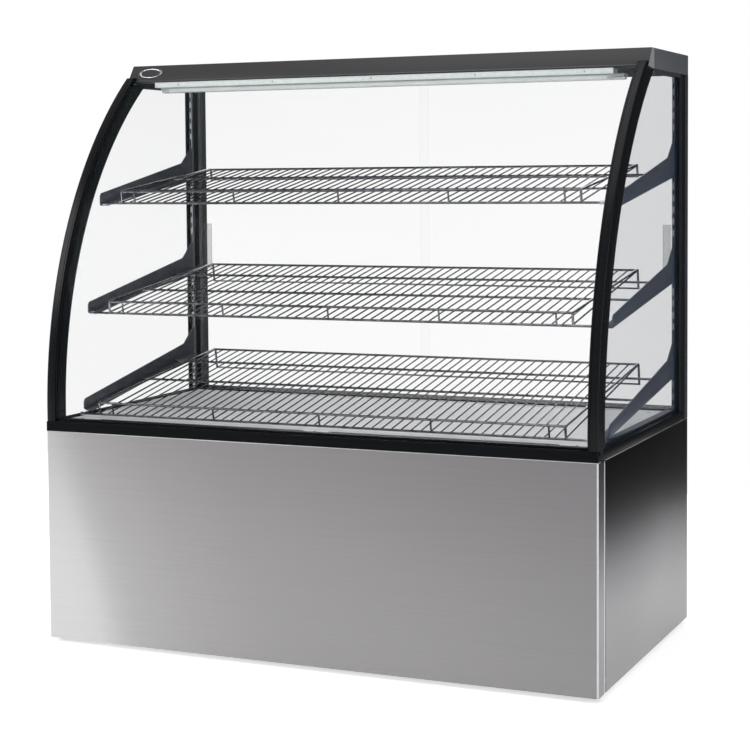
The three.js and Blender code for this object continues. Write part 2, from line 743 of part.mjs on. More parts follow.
// A block of fins on a core, with its fins across X.
function finnedCoil([x0, x1], [y0, y1], [z0, z1], fins) {
  const core = box([x0, x1], [y0 + 6, y1 - 6], [z0 + 6, z1 - 6]);
  const pitch = (x1 - x0) / fins;
  const plates = [];
  for (let i = 0; i < fins; i += 1) {
    const x = x0 + i * pitch;
    plates.push(box([x, x + pitch / 2], [y0, y1], [z0, z1]));
  }
  return join(core, ...plates);
}

// A hub with pitched blades, turning about Y, made round the origin.
function fanWheel(radius, thick, blades) {
  const hub = new THREE.CylinderGeometry(radius * 0.26, radius * 0.26, thick, 16);
  const wheel = [solid(hub)];
  for (let i = 0; i < blades; i += 1) {
    const leaf = new THREE.BoxGeometry(radius * 0.52, thick * 0.16, radius * 0.76);
    leaf.rotateZ(0.42);
    leaf.translate(0, 0, radius * 0.58);
    leaf.rotateY((i * 2 * Math.PI) / blades);
    wheel.push(solid(leaf));
  }
  return join(...wheel);
}

function cylinderY(radius, [y0, y1], [x, z], sides = 20) {
  const drum = new THREE.CylinderGeometry(radius, radius, y1 - y0, sides);
  drum.translate(x, (y0 + y1) / 2, z);
  return solid(drum);
}

const tubFloor = tubZ[0] + tubWall + gap;
const coldCoilX = [-330, 150];
const coldFanAt = [260, 0, tubFloor + coldFanRadius + 4];

function coldFanMotor() {
  const [x, y, z] = coldFanAt;
  const can = cylinderY(22, [y + 16, y + 60], [x, z]);
  const stand = box([x - 14, x + 14], [y + 26, y + 50], [tubFloor, z]);
  const shoe = box([x - 34, x + 34], [y + 20, y + 56], [tubFloor, tubFloor + 4]);
  return join(can, stand, shoe);
}

part(cooling, "cold_deck", coldDeck(), satinSteel);
part(cooling, "cold_tub", coldTub(), satinSteel);
const coilZ = [tubFloor, tubFloor + 66];
part(cooling, "evaporator_coil", finnedCoil(coldCoilX, [-90, 70], coilZ, 18), finAluminium);
part(cooling, "evaporator_fan_motor", coldFanMotor(), motorBlack);
part(cooling, "evaporator_fan_wheel", fanWheel(coldFanRadius, 20, 5), blackPlastic, coldFanAt);

// ---------- machine on the base pan ----------
const machineZ = panFloor + gap;
const condenserX = [-150, -150 + condenserWidth];
const condenserY = [serviceY[0] - 12 - condenserDepth, serviceY[0] - 12];
const condenserMiddle = (condenserX[0] + condenserX[1]) / 2;
const condenserZ = [machineZ, machineZ + 24 + condenserHeight];
const fanCentreZ = (condenserZ[0] + condenserZ[1]) / 2;
const fanAt = [condenserMiddle, condenserY[0] - 26, fanCentreZ];

function compressor() {
  const [r, h] = [compressorRadius, compressorHeight];
  const dome = new THREE.Shape();
  dome.moveTo(0, 14);
  dome.lineTo(r * 0.8, 14);
  dome.quadraticCurveTo(r, 16, r, 40);
  dome.lineTo(r, h * 0.62);
  dome.quadraticCurveTo(r, h, 0, h);
  const shell = new THREE.LatheGeometry(dome.getPoints(5), 20);
  shell.rotateX(Math.PI / 2);
  const plate = prismZ(roundedRect(2.3 * r, 1.7 * r, 16), [8, 15], 3);
  const foot = ([sx, sy]) => prismZ(disc(11, sx * r * 0.95, sy * r * 0.6), [0, 9], 4);
  const cap = box([r - 8, r + 22], [-26, 26], [h * 0.3, h * 0.68]);
  return join(solid(shell), plate, cap, ...footPlaces.map(foot));
}

function condenserFan() {
  const [x, y, z] = fanAt;
  const can = cylinderY(36, [y - 70, y - 16], [x, z]);
  const arm = (sx) => box([x + sx * 64 - 7, x + sx * 64 + 7], [y - 60, y - 56], [machineZ, z + 8]);
  const cross = box([x - 71, x + 71], [y - 60, y - 56], [z - 8, z + 8]);
  const shoe = box([x - 71, x + 71], [y - 74, y - 42], [machineZ, machineZ + 4]);
  return join(can, arm(-1), arm(1), cross, shoe);
}

// The shroud ducts the fan's air to the coil.
function fanShroud() {
  const [x, y, z] = fanAt;
  const ys = [y - 12, condenserY[0] - gap];
  const frame = box(condenserX, ys, condenserZ);
  return cut(frame, cylinderY(fanRadius + 6, [ys[0] - 1, ys[1] + 1], [x, z], 28));
}

function drainTray() {
  const ys = [serviceY[0] - drainDepth, rear - 2];
  const tray = box(drainX, ys, drainZ);
  const hollow = box([drainX[0] + 2, drainX[1] - 2], [ys[0] + 2, serviceY[0] - 4], [drainZ[0] + 2, height]);
  const lip = box([drainX[0] - 1, drainX[1] + 1], [serviceY[1], rear], [drainZ[0] + 10, height]);
  return cut(cut(tray, hollow), lip);
}

const bezelY = [serviceY[1] + gap, serviceY[1] + gap + 3];
const controlMiddle = (controlZ[0] + controlZ[1]) / 2;
const inletX = controlX[0] + 26;
const rockerX = { power: controlX[0] + 128, light: controlX[0] + 160 };
const keyX = { up: controlX[0] + 72, down: controlX[0] + 94 };

function controller() {
  const halfGap = 8;
  const bezel = box(opening(...controlX, halfGap), bezelY, opening(...controlZ, halfGap));
  const bodyY = [serviceY[0] - 40, bezelY[0] + 1];
  const body = box(opening(...controlX, -2), bodyY, opening(...controlZ, -2));
  const wells = Object.values(rockerX).map((x) =>
    box(around(x, 11), [bezelY[1] - 22, rear], around(controlMiddle, 16)));
  const keyWells = Object.values(keyX).map((x) =>
    prismY(disc(6.4, x, controlMiddle), [bezelY[1] - 10, rear + 1], 4));
  const socket = prismY(roundedRect(27, 20, 3, inletX, controlMiddle), [bezelY[1] - 14, rear], 2);
  const pins = [-7, 0, 7].map((x) =>
    box(around(inletX + x, 1), [bezelY[1] - 15, bezelY[1] - 3], around(controlMiddle, 2)));
  return join(cut(join(bezel, body), ...wells, ...keyWells, socket), ...pins);
}

// A rocker turns about its own X axis; its face is two flats that meet at the middle.
function rocker() {
  const shape = outline([[-9, -11], [3.4, -12], [0.6, 0], [3.4, 12], [-9, 11], [-11, 0]]);
  return prismX(shape, [-10, 10]);
}

const key = () => prismY(disc(5.8), [-6, 2.4], 4);

part(cooling, "compressor", compressor(), motorBlack, [-330, 80, machineZ]);
part(cooling, "condenser_coil", finnedCoil(condenserX, condenserY, condenserZ, 16), copper);
part(cooling, "condenser_fan_motor", condenserFan(), motorBlack);
part(cooling, "condenser_fan_wheel", fanWheel(fanRadius, 22, 5), motorBlack, fanAt);
part(cooling, "fan_shroud", fanShroud(), galvanised);
part(cooling, "drain_tray", drainTray(), whitePlastic);
part(cooling, "controller", controller(), blackPlastic);
for (const [name, x] of Object.entries(rockerX)) {
  part(cooling, name + "_switch", rocker(), blackPlastic, [x, bezelY[1] - 1.5, controlMiddle]);
}
for (const [name, x] of Object.entries(keyX)) {
  part(cooling, "set_key_" + name, key(), whitePlastic, [x, bezelY[1], controlMiddle]);
}

export default root;
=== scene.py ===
"""Looks for a refrigerated deli case: steel base, black curved frames, wire shelves, lamp and machine."""

import bmesh
import bpy
import math
from mathutils import Matrix, Vector


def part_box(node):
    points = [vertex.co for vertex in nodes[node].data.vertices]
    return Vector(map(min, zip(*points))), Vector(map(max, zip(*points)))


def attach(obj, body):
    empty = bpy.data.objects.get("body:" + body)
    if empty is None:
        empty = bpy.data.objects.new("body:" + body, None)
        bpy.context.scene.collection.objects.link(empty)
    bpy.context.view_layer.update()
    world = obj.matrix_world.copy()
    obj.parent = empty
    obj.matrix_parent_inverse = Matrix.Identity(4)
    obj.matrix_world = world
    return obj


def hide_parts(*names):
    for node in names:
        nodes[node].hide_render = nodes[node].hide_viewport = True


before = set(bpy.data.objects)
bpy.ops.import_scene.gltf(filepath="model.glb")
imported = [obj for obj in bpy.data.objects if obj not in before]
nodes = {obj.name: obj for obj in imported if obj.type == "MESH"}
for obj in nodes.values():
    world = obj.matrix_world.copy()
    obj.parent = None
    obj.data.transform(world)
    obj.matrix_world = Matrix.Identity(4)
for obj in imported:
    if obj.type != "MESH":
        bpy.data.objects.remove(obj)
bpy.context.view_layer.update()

MM = 0.001
FLAT = math.radians(32)  # edges turned more than this stay crisp


def size_of(node):
    """Lowest and highest corner of a CAD node, in millimetres."""
    low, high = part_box(node)
    return low / MM, high / MM


# ---------------------------------------------------------------- materials
def srgb(code):
    """A #rrggbb colour as linear RGBA."""
    parts = [int(code[i : i + 2], 16) / 255 for i in (1, 3, 5)]
    return tuple(c / 12.92 if c <= 0.04045 else ((c + 0.055) / 1.055) ** 2.4 for c in parts) + (1.0,)


def add(tree, kind, sockets=None, **settings):
    """Adds a node: settings are its properties, sockets its inputs' values or the outputs that feed them."""
    made = tree.nodes.new("ShaderNode" + kind)
    for key, value in settings.items():
        setattr(made, key, value)
    for key, value in (sockets or {}).items():
        if isinstance(value, bpy.types.NodeSocket):
            tree.links.new(value, made.inputs[key])
        else:
            made.inputs[key].default_value = value
    return made


def finish(
    name, dark, light, grain, rough, metallic=0.0, relief=0.02, spread=0.05, detail=3.0, contrast=1.0,
    clear=None, **shader
):
    """A finish whose tone, gloss and relief follow one noise pattern.

    The grain is the pattern's feature size in millimetres, or its sizes along X, Y and Z. A clear finish
    is given its opacity where it is seen face on and where it is seen edge on.
    """
    material = bpy.data.materials.new(name)
    material.use_nodes = True
    tree = material.node_tree
    surface = tree.nodes["Principled BSDF"]
    place = add(tree, "TexCoord").outputs["Object"]
    grain = grain if isinstance(grain, tuple) else (grain, grain, grain)
    scale = tuple(1 / (size * MM) for size in grain)
    stretched = add(tree, "Mapping", {"Vector": place, "Scale": scale}).outputs["Vector"]
    noise = add(tree, "TexNoise", {"Vector": stretched, "Scale": 1.0, "Detail": detail}).outputs["Fac"]
    low, high = 0.5 - 0.25 / contrast, 0.5 + 0.25 / contrast
    even = add(tree, "MapRange", {"Value": noise, "From Min": low, "From Max": high}).outputs["Result"]
    tone = add(tree, "Mix", {"Factor": even, "A": srgb(dark), "B": srgb(light)}, data_type="RGBA")
    gloss = add(tree, "MapRange", {"Value": noise, "To Min": rough - spread, "To Max": rough + spread})
    tree.links.new(tone.outputs["Result"], surface.inputs["Base Color"])
    tree.links.new(gloss.outputs["Result"], surface.inputs["Roughness"])
    surface.inputs["Metallic"].default_value = metallic
    for key, value in shader.items():
        surface.inputs[key.replace("_", " ")].default_value = value
    if relief:
        bump = add(tree, "Bump", {"Height": noise, "Strength": 0.6, "Distance": relief * MM})
        tree.links.new(bump.outputs["Normal"], surface.inputs["Normal"])
    if clear:
        weight = add(tree, "LayerWeight", {"Blend": 0.35}).outputs["Facing"]
        cover = add(tree, "MapRange", {"Value": weight, "To Min": clear[0], "To Max": clear[1]})
        tree.links.new(cover.outputs["Result"], surface.inputs["Alpha"])
    return material


def shade_along(material, direction, stops, wander=0.0):
    """Paints light and shade into a tone: multiplies it by a soft ramp of colours along a direction: stops
    are (millimetres, colour).
    """
    tree = material.node_tree
    surface = tree.nodes["Principled BSDF"]
    before = surface.inputs["Base Color"].links[0].from_socket
    place = add(tree, "TexCoord").outputs["Object"]
    along = add(tree, "VectorMath", {0: place, 1: direction}, operation="DOT_PRODUCT").outputs["Value"]
    if wander:
        drift = add(tree, "TexNoise", {"Vector": place, "Scale": 2.2, "Detail": 1.0}).outputs["Fac"]
        shift = add(tree, "MapRange", {"Value": drift, "To Min": -wander * MM, "To Max": wander * MM})
        along = add(tree, "Math", {0: along, 1: shift.outputs["Result"]}, operation="ADD").outputs[0]
    start, end = stops[0][0] * MM, stops[-1][0] * MM
    share = add(tree, "MapRange", {"Value": along, "From Min": start, "From Max": end}).outputs["Result"]
    ramp = add(tree, "ValToRGB", {"Fac": share})
    ramp.color_ramp.interpolation = "B_SPLINE"
    marks = ramp.color_ramp.elements
    while len(marks) < len(stops):
        marks.new(0.5)
    for mark, (at, code) in zip(marks, stops):
        mark.position = (at * MM - start) / (end - start)
        mark.color = srgb(code)
    sockets = {"Factor": 1.0, "A": before, "B": ramp.outputs["Color"]}
    blend = add(tree, "Mix", sockets, data_type="RGBA", blend_type="MULTIPLY")
    tree.links.new(blend.outputs["Result"], surface.inputs["Base Color"])
    return material


# Stainless steel sheet, brushed along its length: fine level grain. Painted light: the tone is paler at the
# left end and darker to the right, standing in for the soft wide reflections of the room.
brushed_front = shade_along(
    finish("brushed_stainless_front", "#cacaca", "#d4d4d4", (260, 40, 0.9), 0.38, 1.0, 0.004, detail=4.0),
    (1, 0, 0.3),
    [
        (-600, "#ffffff"), (-470, "#fcfcfc"), (-405, "#dad9d9"), (-330, "#d2d0d1"), (-230, "#c9c7c8"),
        (-60, "#bebcbd"), (240, "#bab8b9"), (456, "#b5b3b4"), (690, "#b0afb0")
    ],
    wander=22
)
# Painted shade: the front sheet also darkens towards its top.
shade_along(
    brushed_front, (0.08, 0, 1), [(10, "#f2f2f2"), (180, "#f4f4f4"), (320, "#eeeded"), (490, "#e2e0e1")]
)
# The same sheet on the sides, with a painted reflection: pale low down, where it faces the pale floor, and
# dark higher up, where it faces a darker part of the room.
brushed_side = shade_along(
    finish("brushed_stainless_side", "#b6b6b7", "#c0c0c1", (40, 260, 0.9), 0.4, 1.0, 0.004, detail=4.0),
    (0, 0.14, 1),
    [
        (-30, "#cccccc"), (60, "#d0d0d0"), (132, "#d2d2d2"), (180, "#bebebf"), (232, "#9c9c9e"),
        (272, "#707074"), (308, "#47474a"), (348, "#2a2a2d"), (390, "#202023"), (480, "#19191b")
    ],
    wander=14
)
# Stainless steel sheet, polished with a soft pad: even grey without a clear grain.
satin_stainless = finish("satin_stainless", "#b9babb", "#d2d3d4", (60, 60, 1.2), 0.34, 1.0, 0.008)
service_stainless = finish("service_stainless", "#a9a9aa", "#c3c3c4", (1.4, 60, 220), 0.4, 1.0, 0.01)
# Zinc coated steel: large faint crystals in a dull grey.
galvanised = finish(
    "galvanised_steel", "#84888c", "#a2a6aa", 14, 0.5, 0.9, 0.01, spread=0.1, detail=1.0, contrast=1.6
)
# Powder coated steel, dark grey: a fine orange peel and almost no shine.
powder_charcoal = finish(
    "powder_coated_charcoal", "#333334", "#3b3b3c", 2.4, 0.42, 0.1, 0.03, IOR=1.45, Specular_IOR_Level=0.3
)
# Grey lacquered steel of the canopy's cheeks, and a paler copy for the bent corner: painted light for a
# facet that faces the light differently.
lacquer_grey = finish(
    "lacquered_grey_steel", "#5d6165", "#686c70", 3, 0.4, 0.3, 0.02, Specular_IOR_Level=0.35
)
lacquer_painted_light = finish("lacquered_bend_painted_light", "#9fa1a3", "#b4b5b6", 3, 0.36, 0.4, 0.02)
# Aluminium extrusion, anodised black: smooth, deep, with a cold blue cast in its highlights.
black_anodised = finish(
    "black_anodised_aluminium", "#08090c", "#0f1116", (2.5, 2.5, 160), 0.26, 0.0, 0.006,
    Specular_IOR_Level=0.16
)
black_rail = finish(
    "black_anodised_rail", "#0a0b0d", "#121317", (160, 60, 2.0), 0.36, 0.0, 0.006, Specular_IOR_Level=0.05
)
# Natural anodised aluminium extrusion: fine draw lines along its length.
natural_anodised = finish(
    "natural_anodised_aluminium", "#9c9ba4", "#b9b8c0", (0.9, 0.9, 240), 0.34, 0.9, 0.008
)
grey_anodised = finish("grey_anodised_aluminium", "#4c5054", "#5e6267", (160, 160, 1.4), 0.36, 0.7, 0.008)
# Nickel chrome plated wire: bright, with painted dark streaks standing in for the room it reflects.
chrome_wire = finish(
    "chrome_plated_wire", "#57565b", "#8b898f", 9, 0.2, 1.0, 0.0, spread=0.06, detail=2.0, contrast=1.4
)
chrome_trim = finish("chrome_plated_trim", "#a5a9b1", "#c6c9cf", 6, 0.18, 1.0, 0.0)
# Pressed steel shelf arm under a thin dark lacquer.
arm_steel = finish(
    "lacquered_arm_steel", "#4a4d54", "#63666d", (30, 30, 8), 0.34, 0.3, 0.01, spread=0.08, detail=2.0
)
# Bead-blasted stainless steel of the cold deck, its colour raised near white as painted light for the bright
# reflection the deck catches.
deck_steel = finish(
    "bead_blasted_deck_steel", "#eef1f4", "#fafbfc", (60, 12, 6), 0.42, 0.0, 0.006, spread=0.06
)
# The rolled hems and bends of the steel sheets: a brighter copy of the steel as a painted highlight along
# them.
edge_painted_highlight = finish("steel_edge_painted_highlight", "#b9bbbf", "#c6c8cc", 20, 0.3, 1.0, 0.0, spread=0.04)
# Toughened float glass: nearly invisible face on, with a cool grey cast when turned away.
glass_front = finish(
    "float_glass_front", "#4b5a59", "#566665", 300, 0.03, 0.0, 0.0, spread=0.01, clear=(0.008, 0.1), IOR=1.5
)
glass_side = finish(
    "grey_tinted_float_glass", "#37475a", "#42526a", (400, 260, 500), 0.05, 0.0, 0.0, spread=0.01,
    detail=1.0, clear=(0.05, 0.28), IOR=1.5
)
glass_clear = finish(
    "float_glass_clear", "#566463", "#667473", 300, 0.03, 0.0, 0.0, spread=0.01, clear=(0.008, 0.07),
    IOR=1.5
)
# Clear polycarbonate lamp cover: a soft milky grey.
lamp_cover = finish(
    "clear_polycarbonate", "#b4bcba", "#cfd6d4", (40, 8, 8), 0.12, 0.0, 0.004, spread=0.04,
    clear=(0.45, 0.85), IOR=1.585
)
# Painted steel of the lamp's body, off white.
lamp_white = finish("white_painted_steel", "#d8e0de", "#e8efed", 5, 0.42, 0.0, 0.015, Specular_IOR_Level=0.4)
lamp_tube = finish(
    "phosphor_coated_tube", "#f3f6f4", "#fbfcfb", (30, 3, 3), 0.5, 0.0, 0.0, spread=0.04,
    Emission_Color=srgb("#f6fbfa"), Emission_Strength=0.35
)
# Moulded polymers: fine spark-eroded texture on black, smoother on white.
moulded_black = finish(
    "moulded_black_polymer", "#151617", "#1f2021", 0.9, 0.52, 0.0, 0.03, spread=0.06, Specular_IOR_Level=0.4
)
moulded_white = finish("moulded_white_polymer", "#d3d5d4", "#e0e2e1", 1.5, 0.42, 0.0, 0.02)
clear_moulding = finish(
    "clear_acrylic", "#dfe6e6", "#edf2f2", (4, 4, 30), 0.1, 0.0, 0.0, spread=0.03, clear=(0.12, 0.4),
    IOR=1.49
)
# Extruded rubber seal: matt, near black.
rubber = finish(
    "extruded_rubber", "#0d0d0e", "#171718", 1.5, 0.75, 0.0, 0.03, spread=0.08, Specular_IOR_Level=0.2
)
clear_seal = finish("clear_vinyl_seal", "#c9cfd0", "#dde2e3", (3, 3, 12), 0.25, 0.0, 0.0, clear=(0.15, 0.4))
# Gloss black enamel over a pressed shell: the compressor and the motors.
shell_enamel = finish(
    "black_shell_enamel", "#101113", "#1b1c1f", 5, 0.3, 0.0, 0.03, spread=0.08, Coat_Weight=0.3
)
# Drawn copper tube: warm, slightly tarnished.
copper_tube = finish(
    "drawn_copper", "#8f4f31", "#c17f59", 12, 0.32, 1.0, 0.0, spread=0.1, detail=2.0, contrast=1.5
)
# Pressed aluminium fins, thin and dull.
fin_stock = finish("aluminium_fin_stock", "#9a9ea2", "#bcc0c3", 3, 0.45, 1.0, 0.02, spread=0.08)
zinc_screw = finish("zinc_plated_screw", "#8b8e92", "#b3b6ba", 1.2, 0.32, 1.0, 0.0, spread=0.08)
dark_screw = finish("blackened_screw", "#2c2d2f", "#4a4c4e", 1.2, 0.4, 0.8, 0.0, spread=0.08)
display_lens = finish(
    "smoked_display_lens", "#08090a", "#101214", 20, 0.08, 0.0, 0.0, spread=0.02, Coat_Weight=1.0
)
pale_floor = finish(
    "pale_studio_floor", "#fafafa", "#ffffff", 900, 0.9, 0.0, 0.0, spread=0.03, detail=1.0,
    Specular_IOR_Level=0.0, Emission_Color=srgb("#ffffff"), Emission_Strength=0.55
)


# ---------------------------------------------------------------- shaping, all in millimetres
def slab(bm, x, y, z, soft=0.0, steps=2):
    """A block between two values on each axis, with its edges rounded."""
    middle = Vector(((x[0] + x[1]) / 2, (y[0] + y[1]) / 2, (z[0] + z[1]) / 2))
    spans = (x[1] - x[0], y[1] - y[0], z[1] - z[0], 1)
    made = bmesh.ops.create_cube(
        bm, size=1, matrix=Matrix.Translation(middle) @ Matrix.Diagonal(spans)
    )["verts"]
    if soft:
        edges = list({e for v in made for e in v.link_edges})
        soften(bm, edges, soft, steps)


def soften(bm, edges, width, steps=2):
    """Rounds edges off."""
    bmesh.ops.bevel(
        bm, geom=edges, offset=width, offset_type="OFFSET", segments=steps, profile=0.5, affect="EDGES",
        clamp_overlap=True, material=-1
    )


def prism(bm, outline, axis, span, soft=0.0, steps=2):
    """An outline in (y, z), (x, z) or (x, y), pulled along the axis across it."""
    spot = {
        "X": lambda a, b, c: (c, a, b), "Y": lambda a, b, c: (a, c, b), "Z": lambda a, b, c: (a, b, c)
    }[axis]
    first = [bm.verts.new(spot(a, b, span[0])) for a, b in outline]
    face = bm.faces.new(first)
    pulled = [
        v for v in bmesh.ops.extrude_face_region(bm, geom=[face])["geom"]
        if isinstance(v, bmesh.types.BMVert)
    ]
    bmesh.ops.translate(bm, vec=Vector(spot(0, 0, span[1] - span[0])), verts=pulled)
    if soft:
        soften(bm, list({e for v in first + pulled for e in v.link_edges}), soft, steps)


def rod(bm, start, end, radius, sides=8, tip=None):
    """A round bar between two points, or a taper where tip gives the far radius."""
    start, end = Vector(start), Vector(end)
    along = end - start
    turn = along.to_track_quat("Z", "Y").to_matrix().to_4x4()
    place = Matrix.Translation((start + end) / 2) @ turn
    bmesh.ops.create_cone(
        bm, cap_ends=True, segments=sides, radius1=radius, radius2=radius if tip is None else tip,
        depth=along.length, matrix=place
    )


def bent_rod(bm, points, radius, sides=8):
    """A round bar along a line of points, mitred at each of them."""
    points = [Vector(p) for p in points]
    ways = [(b - a).normalized() for a, b in zip(points, points[1:])]
    turn = ways[0].to_track_quat("Z", "Y").to_matrix().to_4x4()
    ring = bmesh.ops.create_circle(
        bm, segments=sides, radius=radius, matrix=Matrix.Translation(points[0]) @ turn
    )["verts"]
    loop = list({e for v in ring for e in v.link_edges})
    bmesh.ops.edgeloop_fill(bm, edges=loop)
    for i, way in enumerate(ways):
        cut = (way + ways[i + 1]).normalized() if i + 1 < len(ways) else way
        pulled = bmesh.ops.extrude_edge_only(bm, edges=loop)["geom"]
        loop = [g for g in pulled if isinstance(g, bmesh.types.BMEdge)]
        for v in {v for e in loop for v in e.verts}:
            v.co += way * ((points[i + 1] - v.co).dot(cut) / way.dot(cut))
    bmesh.ops.edgeloop_fill(bm, edges=loop)


def bow(centre, radius, start, end, across, up, steps=8):
    """Points on an arc about a centre, from one angle in degrees to another."""
    across, up = Vector(across), Vector(up)
    angles = [math.radians(start + (end - start) * i / steps) for i in range(steps + 1)]
    return [Vector(centre) + across * (radius * math.cos(a)) + up * (radius * math.sin(a)) for a in angles]


def turned(bm, profile, centre, axis="Z", steps=24):
    """A turned shape: the profile is (radius, distance along the axis)."""
    lay = {"X": lambda r, h: (h, r, 0), "Y": lambda r, h: (r, h, 0), "Z": lambda r, h: (r, 0, h)}[axis]
    points = [bm.verts.new(Vector(centre) + Vector(lay(r, h))) for r, h in profile]
    edges = [bm.edges.new(pair) for pair in zip(points, points[1:])]
    way = Vector([float(axis == a) for a in "XYZ"])
    bmesh.ops.spin(
        bm, geom=points + edges, cent=Vector(centre), axis=way, angle=2 * math.pi, steps=steps,
        use_merge=True
    )


def screw(bm, centre, axis, radius=4.0):
    """A dished pan head screw, standing out along the axis."""
    profile = [
        (0, 0.9), (radius * 0.18, 0.5), (radius * 0.36, 1.5), (radius * 0.75, 1.2), (radius, 0.3),
        (radius, 0.0), (0, 0)
    ]
    turned(bm, profile, centre, axis, 12)


def piece(name, bm, slot, *materials, body="case", replaces=(), flip=1, crisp=FLAT):
    """Turns a mesh in millimetres into a finished piece that rides on a body."""
    bmesh.ops.scale(bm, vec=(flip * MM, MM, MM), verts=bm.verts)
    bmesh.ops.remove_doubles(bm, verts=bm.verts, dist=0.00001)
    bmesh.ops.recalc_face_normals(bm, faces=bm.faces)
    mesh = bpy.data.meshes.new(name)
    bm.to_mesh(mesh)
    bm.free()
    mesh.shade_smooth()
    mesh.set_sharp_from_angle(angle=crisp)
    made = bpy.data.objects.new(name, mesh)
    bpy.context.scene.collection.objects.link(made)
    for material in materials:
        mesh.materials.append(material)
    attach(made, body)
    if replaces:
        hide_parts(*replaces)
    return made


def both_sides(name, build, slot, *materials, replaces=()):
    """The right-hand piece and its mirror image."""
    for hand, flip in (("right", 1), ("left", -1)):
        bm = bmesh.new()
        build(bm)
        hidden = [node + "_" + hand for node in replaces]
        piece(name + "_" + hand, bm, slot, *materials, replaces=hidden, flip=flip)


def paint(material, *names):
    """Gives carried-over CAD nodes their finish."""
    for name in names:
        mesh = nodes[name].data
        mesh.materials.clear()
        mesh.materials.append(material)


# ---------------------------------------------------------------- the case's main planes
side = size_of("end_frame_right")[1].x
front = size_of("front_panel")[0].y
rear = size_of("canopy_top")[1].y
top = size_of("canopy_top")[1].z
base_top = size_of("front_panel")[1].z
rail_height = 20
rail_top = base_top + rail_height
arc_z = rail_top + 19  # the curved front is upright here
setback = 379  # how far back the curve has come at the top
curve_height = top - arc_z
radius = (curve_height**2 + setback**2) / (2 * setback)
arc_y = front + radius


def curve_y(z, inset=0.0):
    """Y of the curved front at a height, for a surface that lies inset from it."""
    return arc_y - math.sqrt((radius - inset) ** 2 - (z - arc_z) ** 2)


def curve_angle(z, inset=0.0):
    """Angle round the curve's centre at a height."""
    return math.asin((z - arc_z) / (radius - inset))


def swept_along_curve(bm, outline, low_z, high_z, steps=40):
    """An (x, inset) outline swept along the curved front between two heights."""
    start, end = curve_angle(low_z), curve_angle(high_z)
    ahead, aside = math.cos(start), math.sin(start)
    first = []
    for x, inset in outline:
        reach = radius - inset
        first.append(bm.verts.new((x, arc_y - reach * ahead, arc_z + reach * aside)))
    face = bm.faces.new(first)
    bmesh.ops.spin(
        bm, geom=first + list(face.edges) + [face], cent=(0, arc_y, arc_z), axis=(-1, 0, 0),
        angle=end - start, steps=steps
    )


def trim_mesh(bm, point, away):
    """Cuts off everything on one side of a plane and closes the cut."""
    whole = bm.verts[:] + bm.edges[:] + bm.faces[:]
    cut = bmesh.ops.bisect_plane(bm, geom=whole, plane_co=point, plane_no=away, clear_outer=True)["geom_cut"]
    edges = [g for g in cut if isinstance(g, bmesh.types.BMEdge)]
    bmesh.ops.contextual_create(bm, geom=edges)


# ---------------------------------------------------------------- steel base
panel_top = base_top - 1.6  # the folded flange above it makes the bright line under the rail
panel_foot = size_of("front_panel")[0].z
wrap = size_of("front_panel")[1].y
sheet = 1.5
fold = 18  # width of the sheets' folded edges
corner = 3.0
corner_back = wrap - 11  # the front sheet's returns end here

bm = bmesh.new()
right_turn = bow((side - corner, front + corner, 0), corner, -90, 0, (1, 0, 0), (0, 1, 0), 4)
inner_turn = bow((side - corner, front + corner, 0), corner - sheet, 0, -90, (1, 0, 0), (0, 1, 0), 4)
outer = [(p.x, p.y) for p in right_turn] + [(side, corner_back), (side - sheet, corner_back)]
inner = [(p.x, p.y) for p in inner_turn]
left_outer = [(-x, y) for x, y in reversed(outer)]
left_inner = [(-x, y) for x, y in reversed(inner)]
prism(bm, left_outer + outer + inner + left_inner, "Z", (panel_foot, panel_top))
slab(bm, (-side + 4, side - 4), (front + sheet, front + fold), (panel_foot, panel_foot + sheet), 0.4)
# Faces round the front corners get the painted highlight copy (index 2); the returns along the sides get the
# side sheet's painted reflection (index 1).
for f in bm.faces:
    centre = f.calc_center_median()
    if abs(centre.x) > side - corner and centre.y < front + corner:
        f.material_index = 2
    elif abs(centre.x) > side - 2 and centre.y > front + corner:
        f.material_index = 1
piece(
    "front_panel_sheet", bm, "brushed_steel", brushed_front, brushed_side, edge_painted_highlight,
    replaces=["front_panel"]
)

bm = bmesh.new()
slab(bm, (-side, side), (front, front + fold), (panel_top, base_top), 0.6)
piece("front_flange", bm, "brushed_steel", satin_stainless)


def side_sheet(bm):
    """The side panel's face with its three folded edges."""
    back = size_of("side_panel_right")[0].y
    slab(bm, (side - sheet, side), (back, rear), (panel_foot, panel_top), 0.6)
    for z in (panel_foot, panel_top - sheet):
        slab(bm, (side - fold, side - sheet), (back, rear), (z, z + sheet), 0.4)
    slab(bm, (side - fold, side - sheet), (rear - sheet, rear), (panel_foot, panel_top), 0.4)


def side_flange(bm):
    """The bright fold along the side panel's top edge."""
    slab(bm, (side - fold, side), (wrap + 0.3, rear), (panel_top, base_top), 0.6)


def corner_hems(bm):
    """The upright roll where the front and side sheets meet, in the painted-highlight copy of the steel."""
    roll, y = 5, wrap - 5.6
    rod(bm, (side - roll, y, panel_foot + 1), (side - roll, y, panel_top - 1), roll, 24)


both_sides("side_panel_sheet", side_sheet, "brushed_steel", brushed_side, replaces=["side_panel"])
both_sides("side_flange", side_flange, "brushed_steel", satin_stainless)
both_sides("corner_hems", corner_hems, "brushed_steel", edge_painted_highlight)

paint(galvanised, "base_pan")
paint(service_stainless, "service_panel")


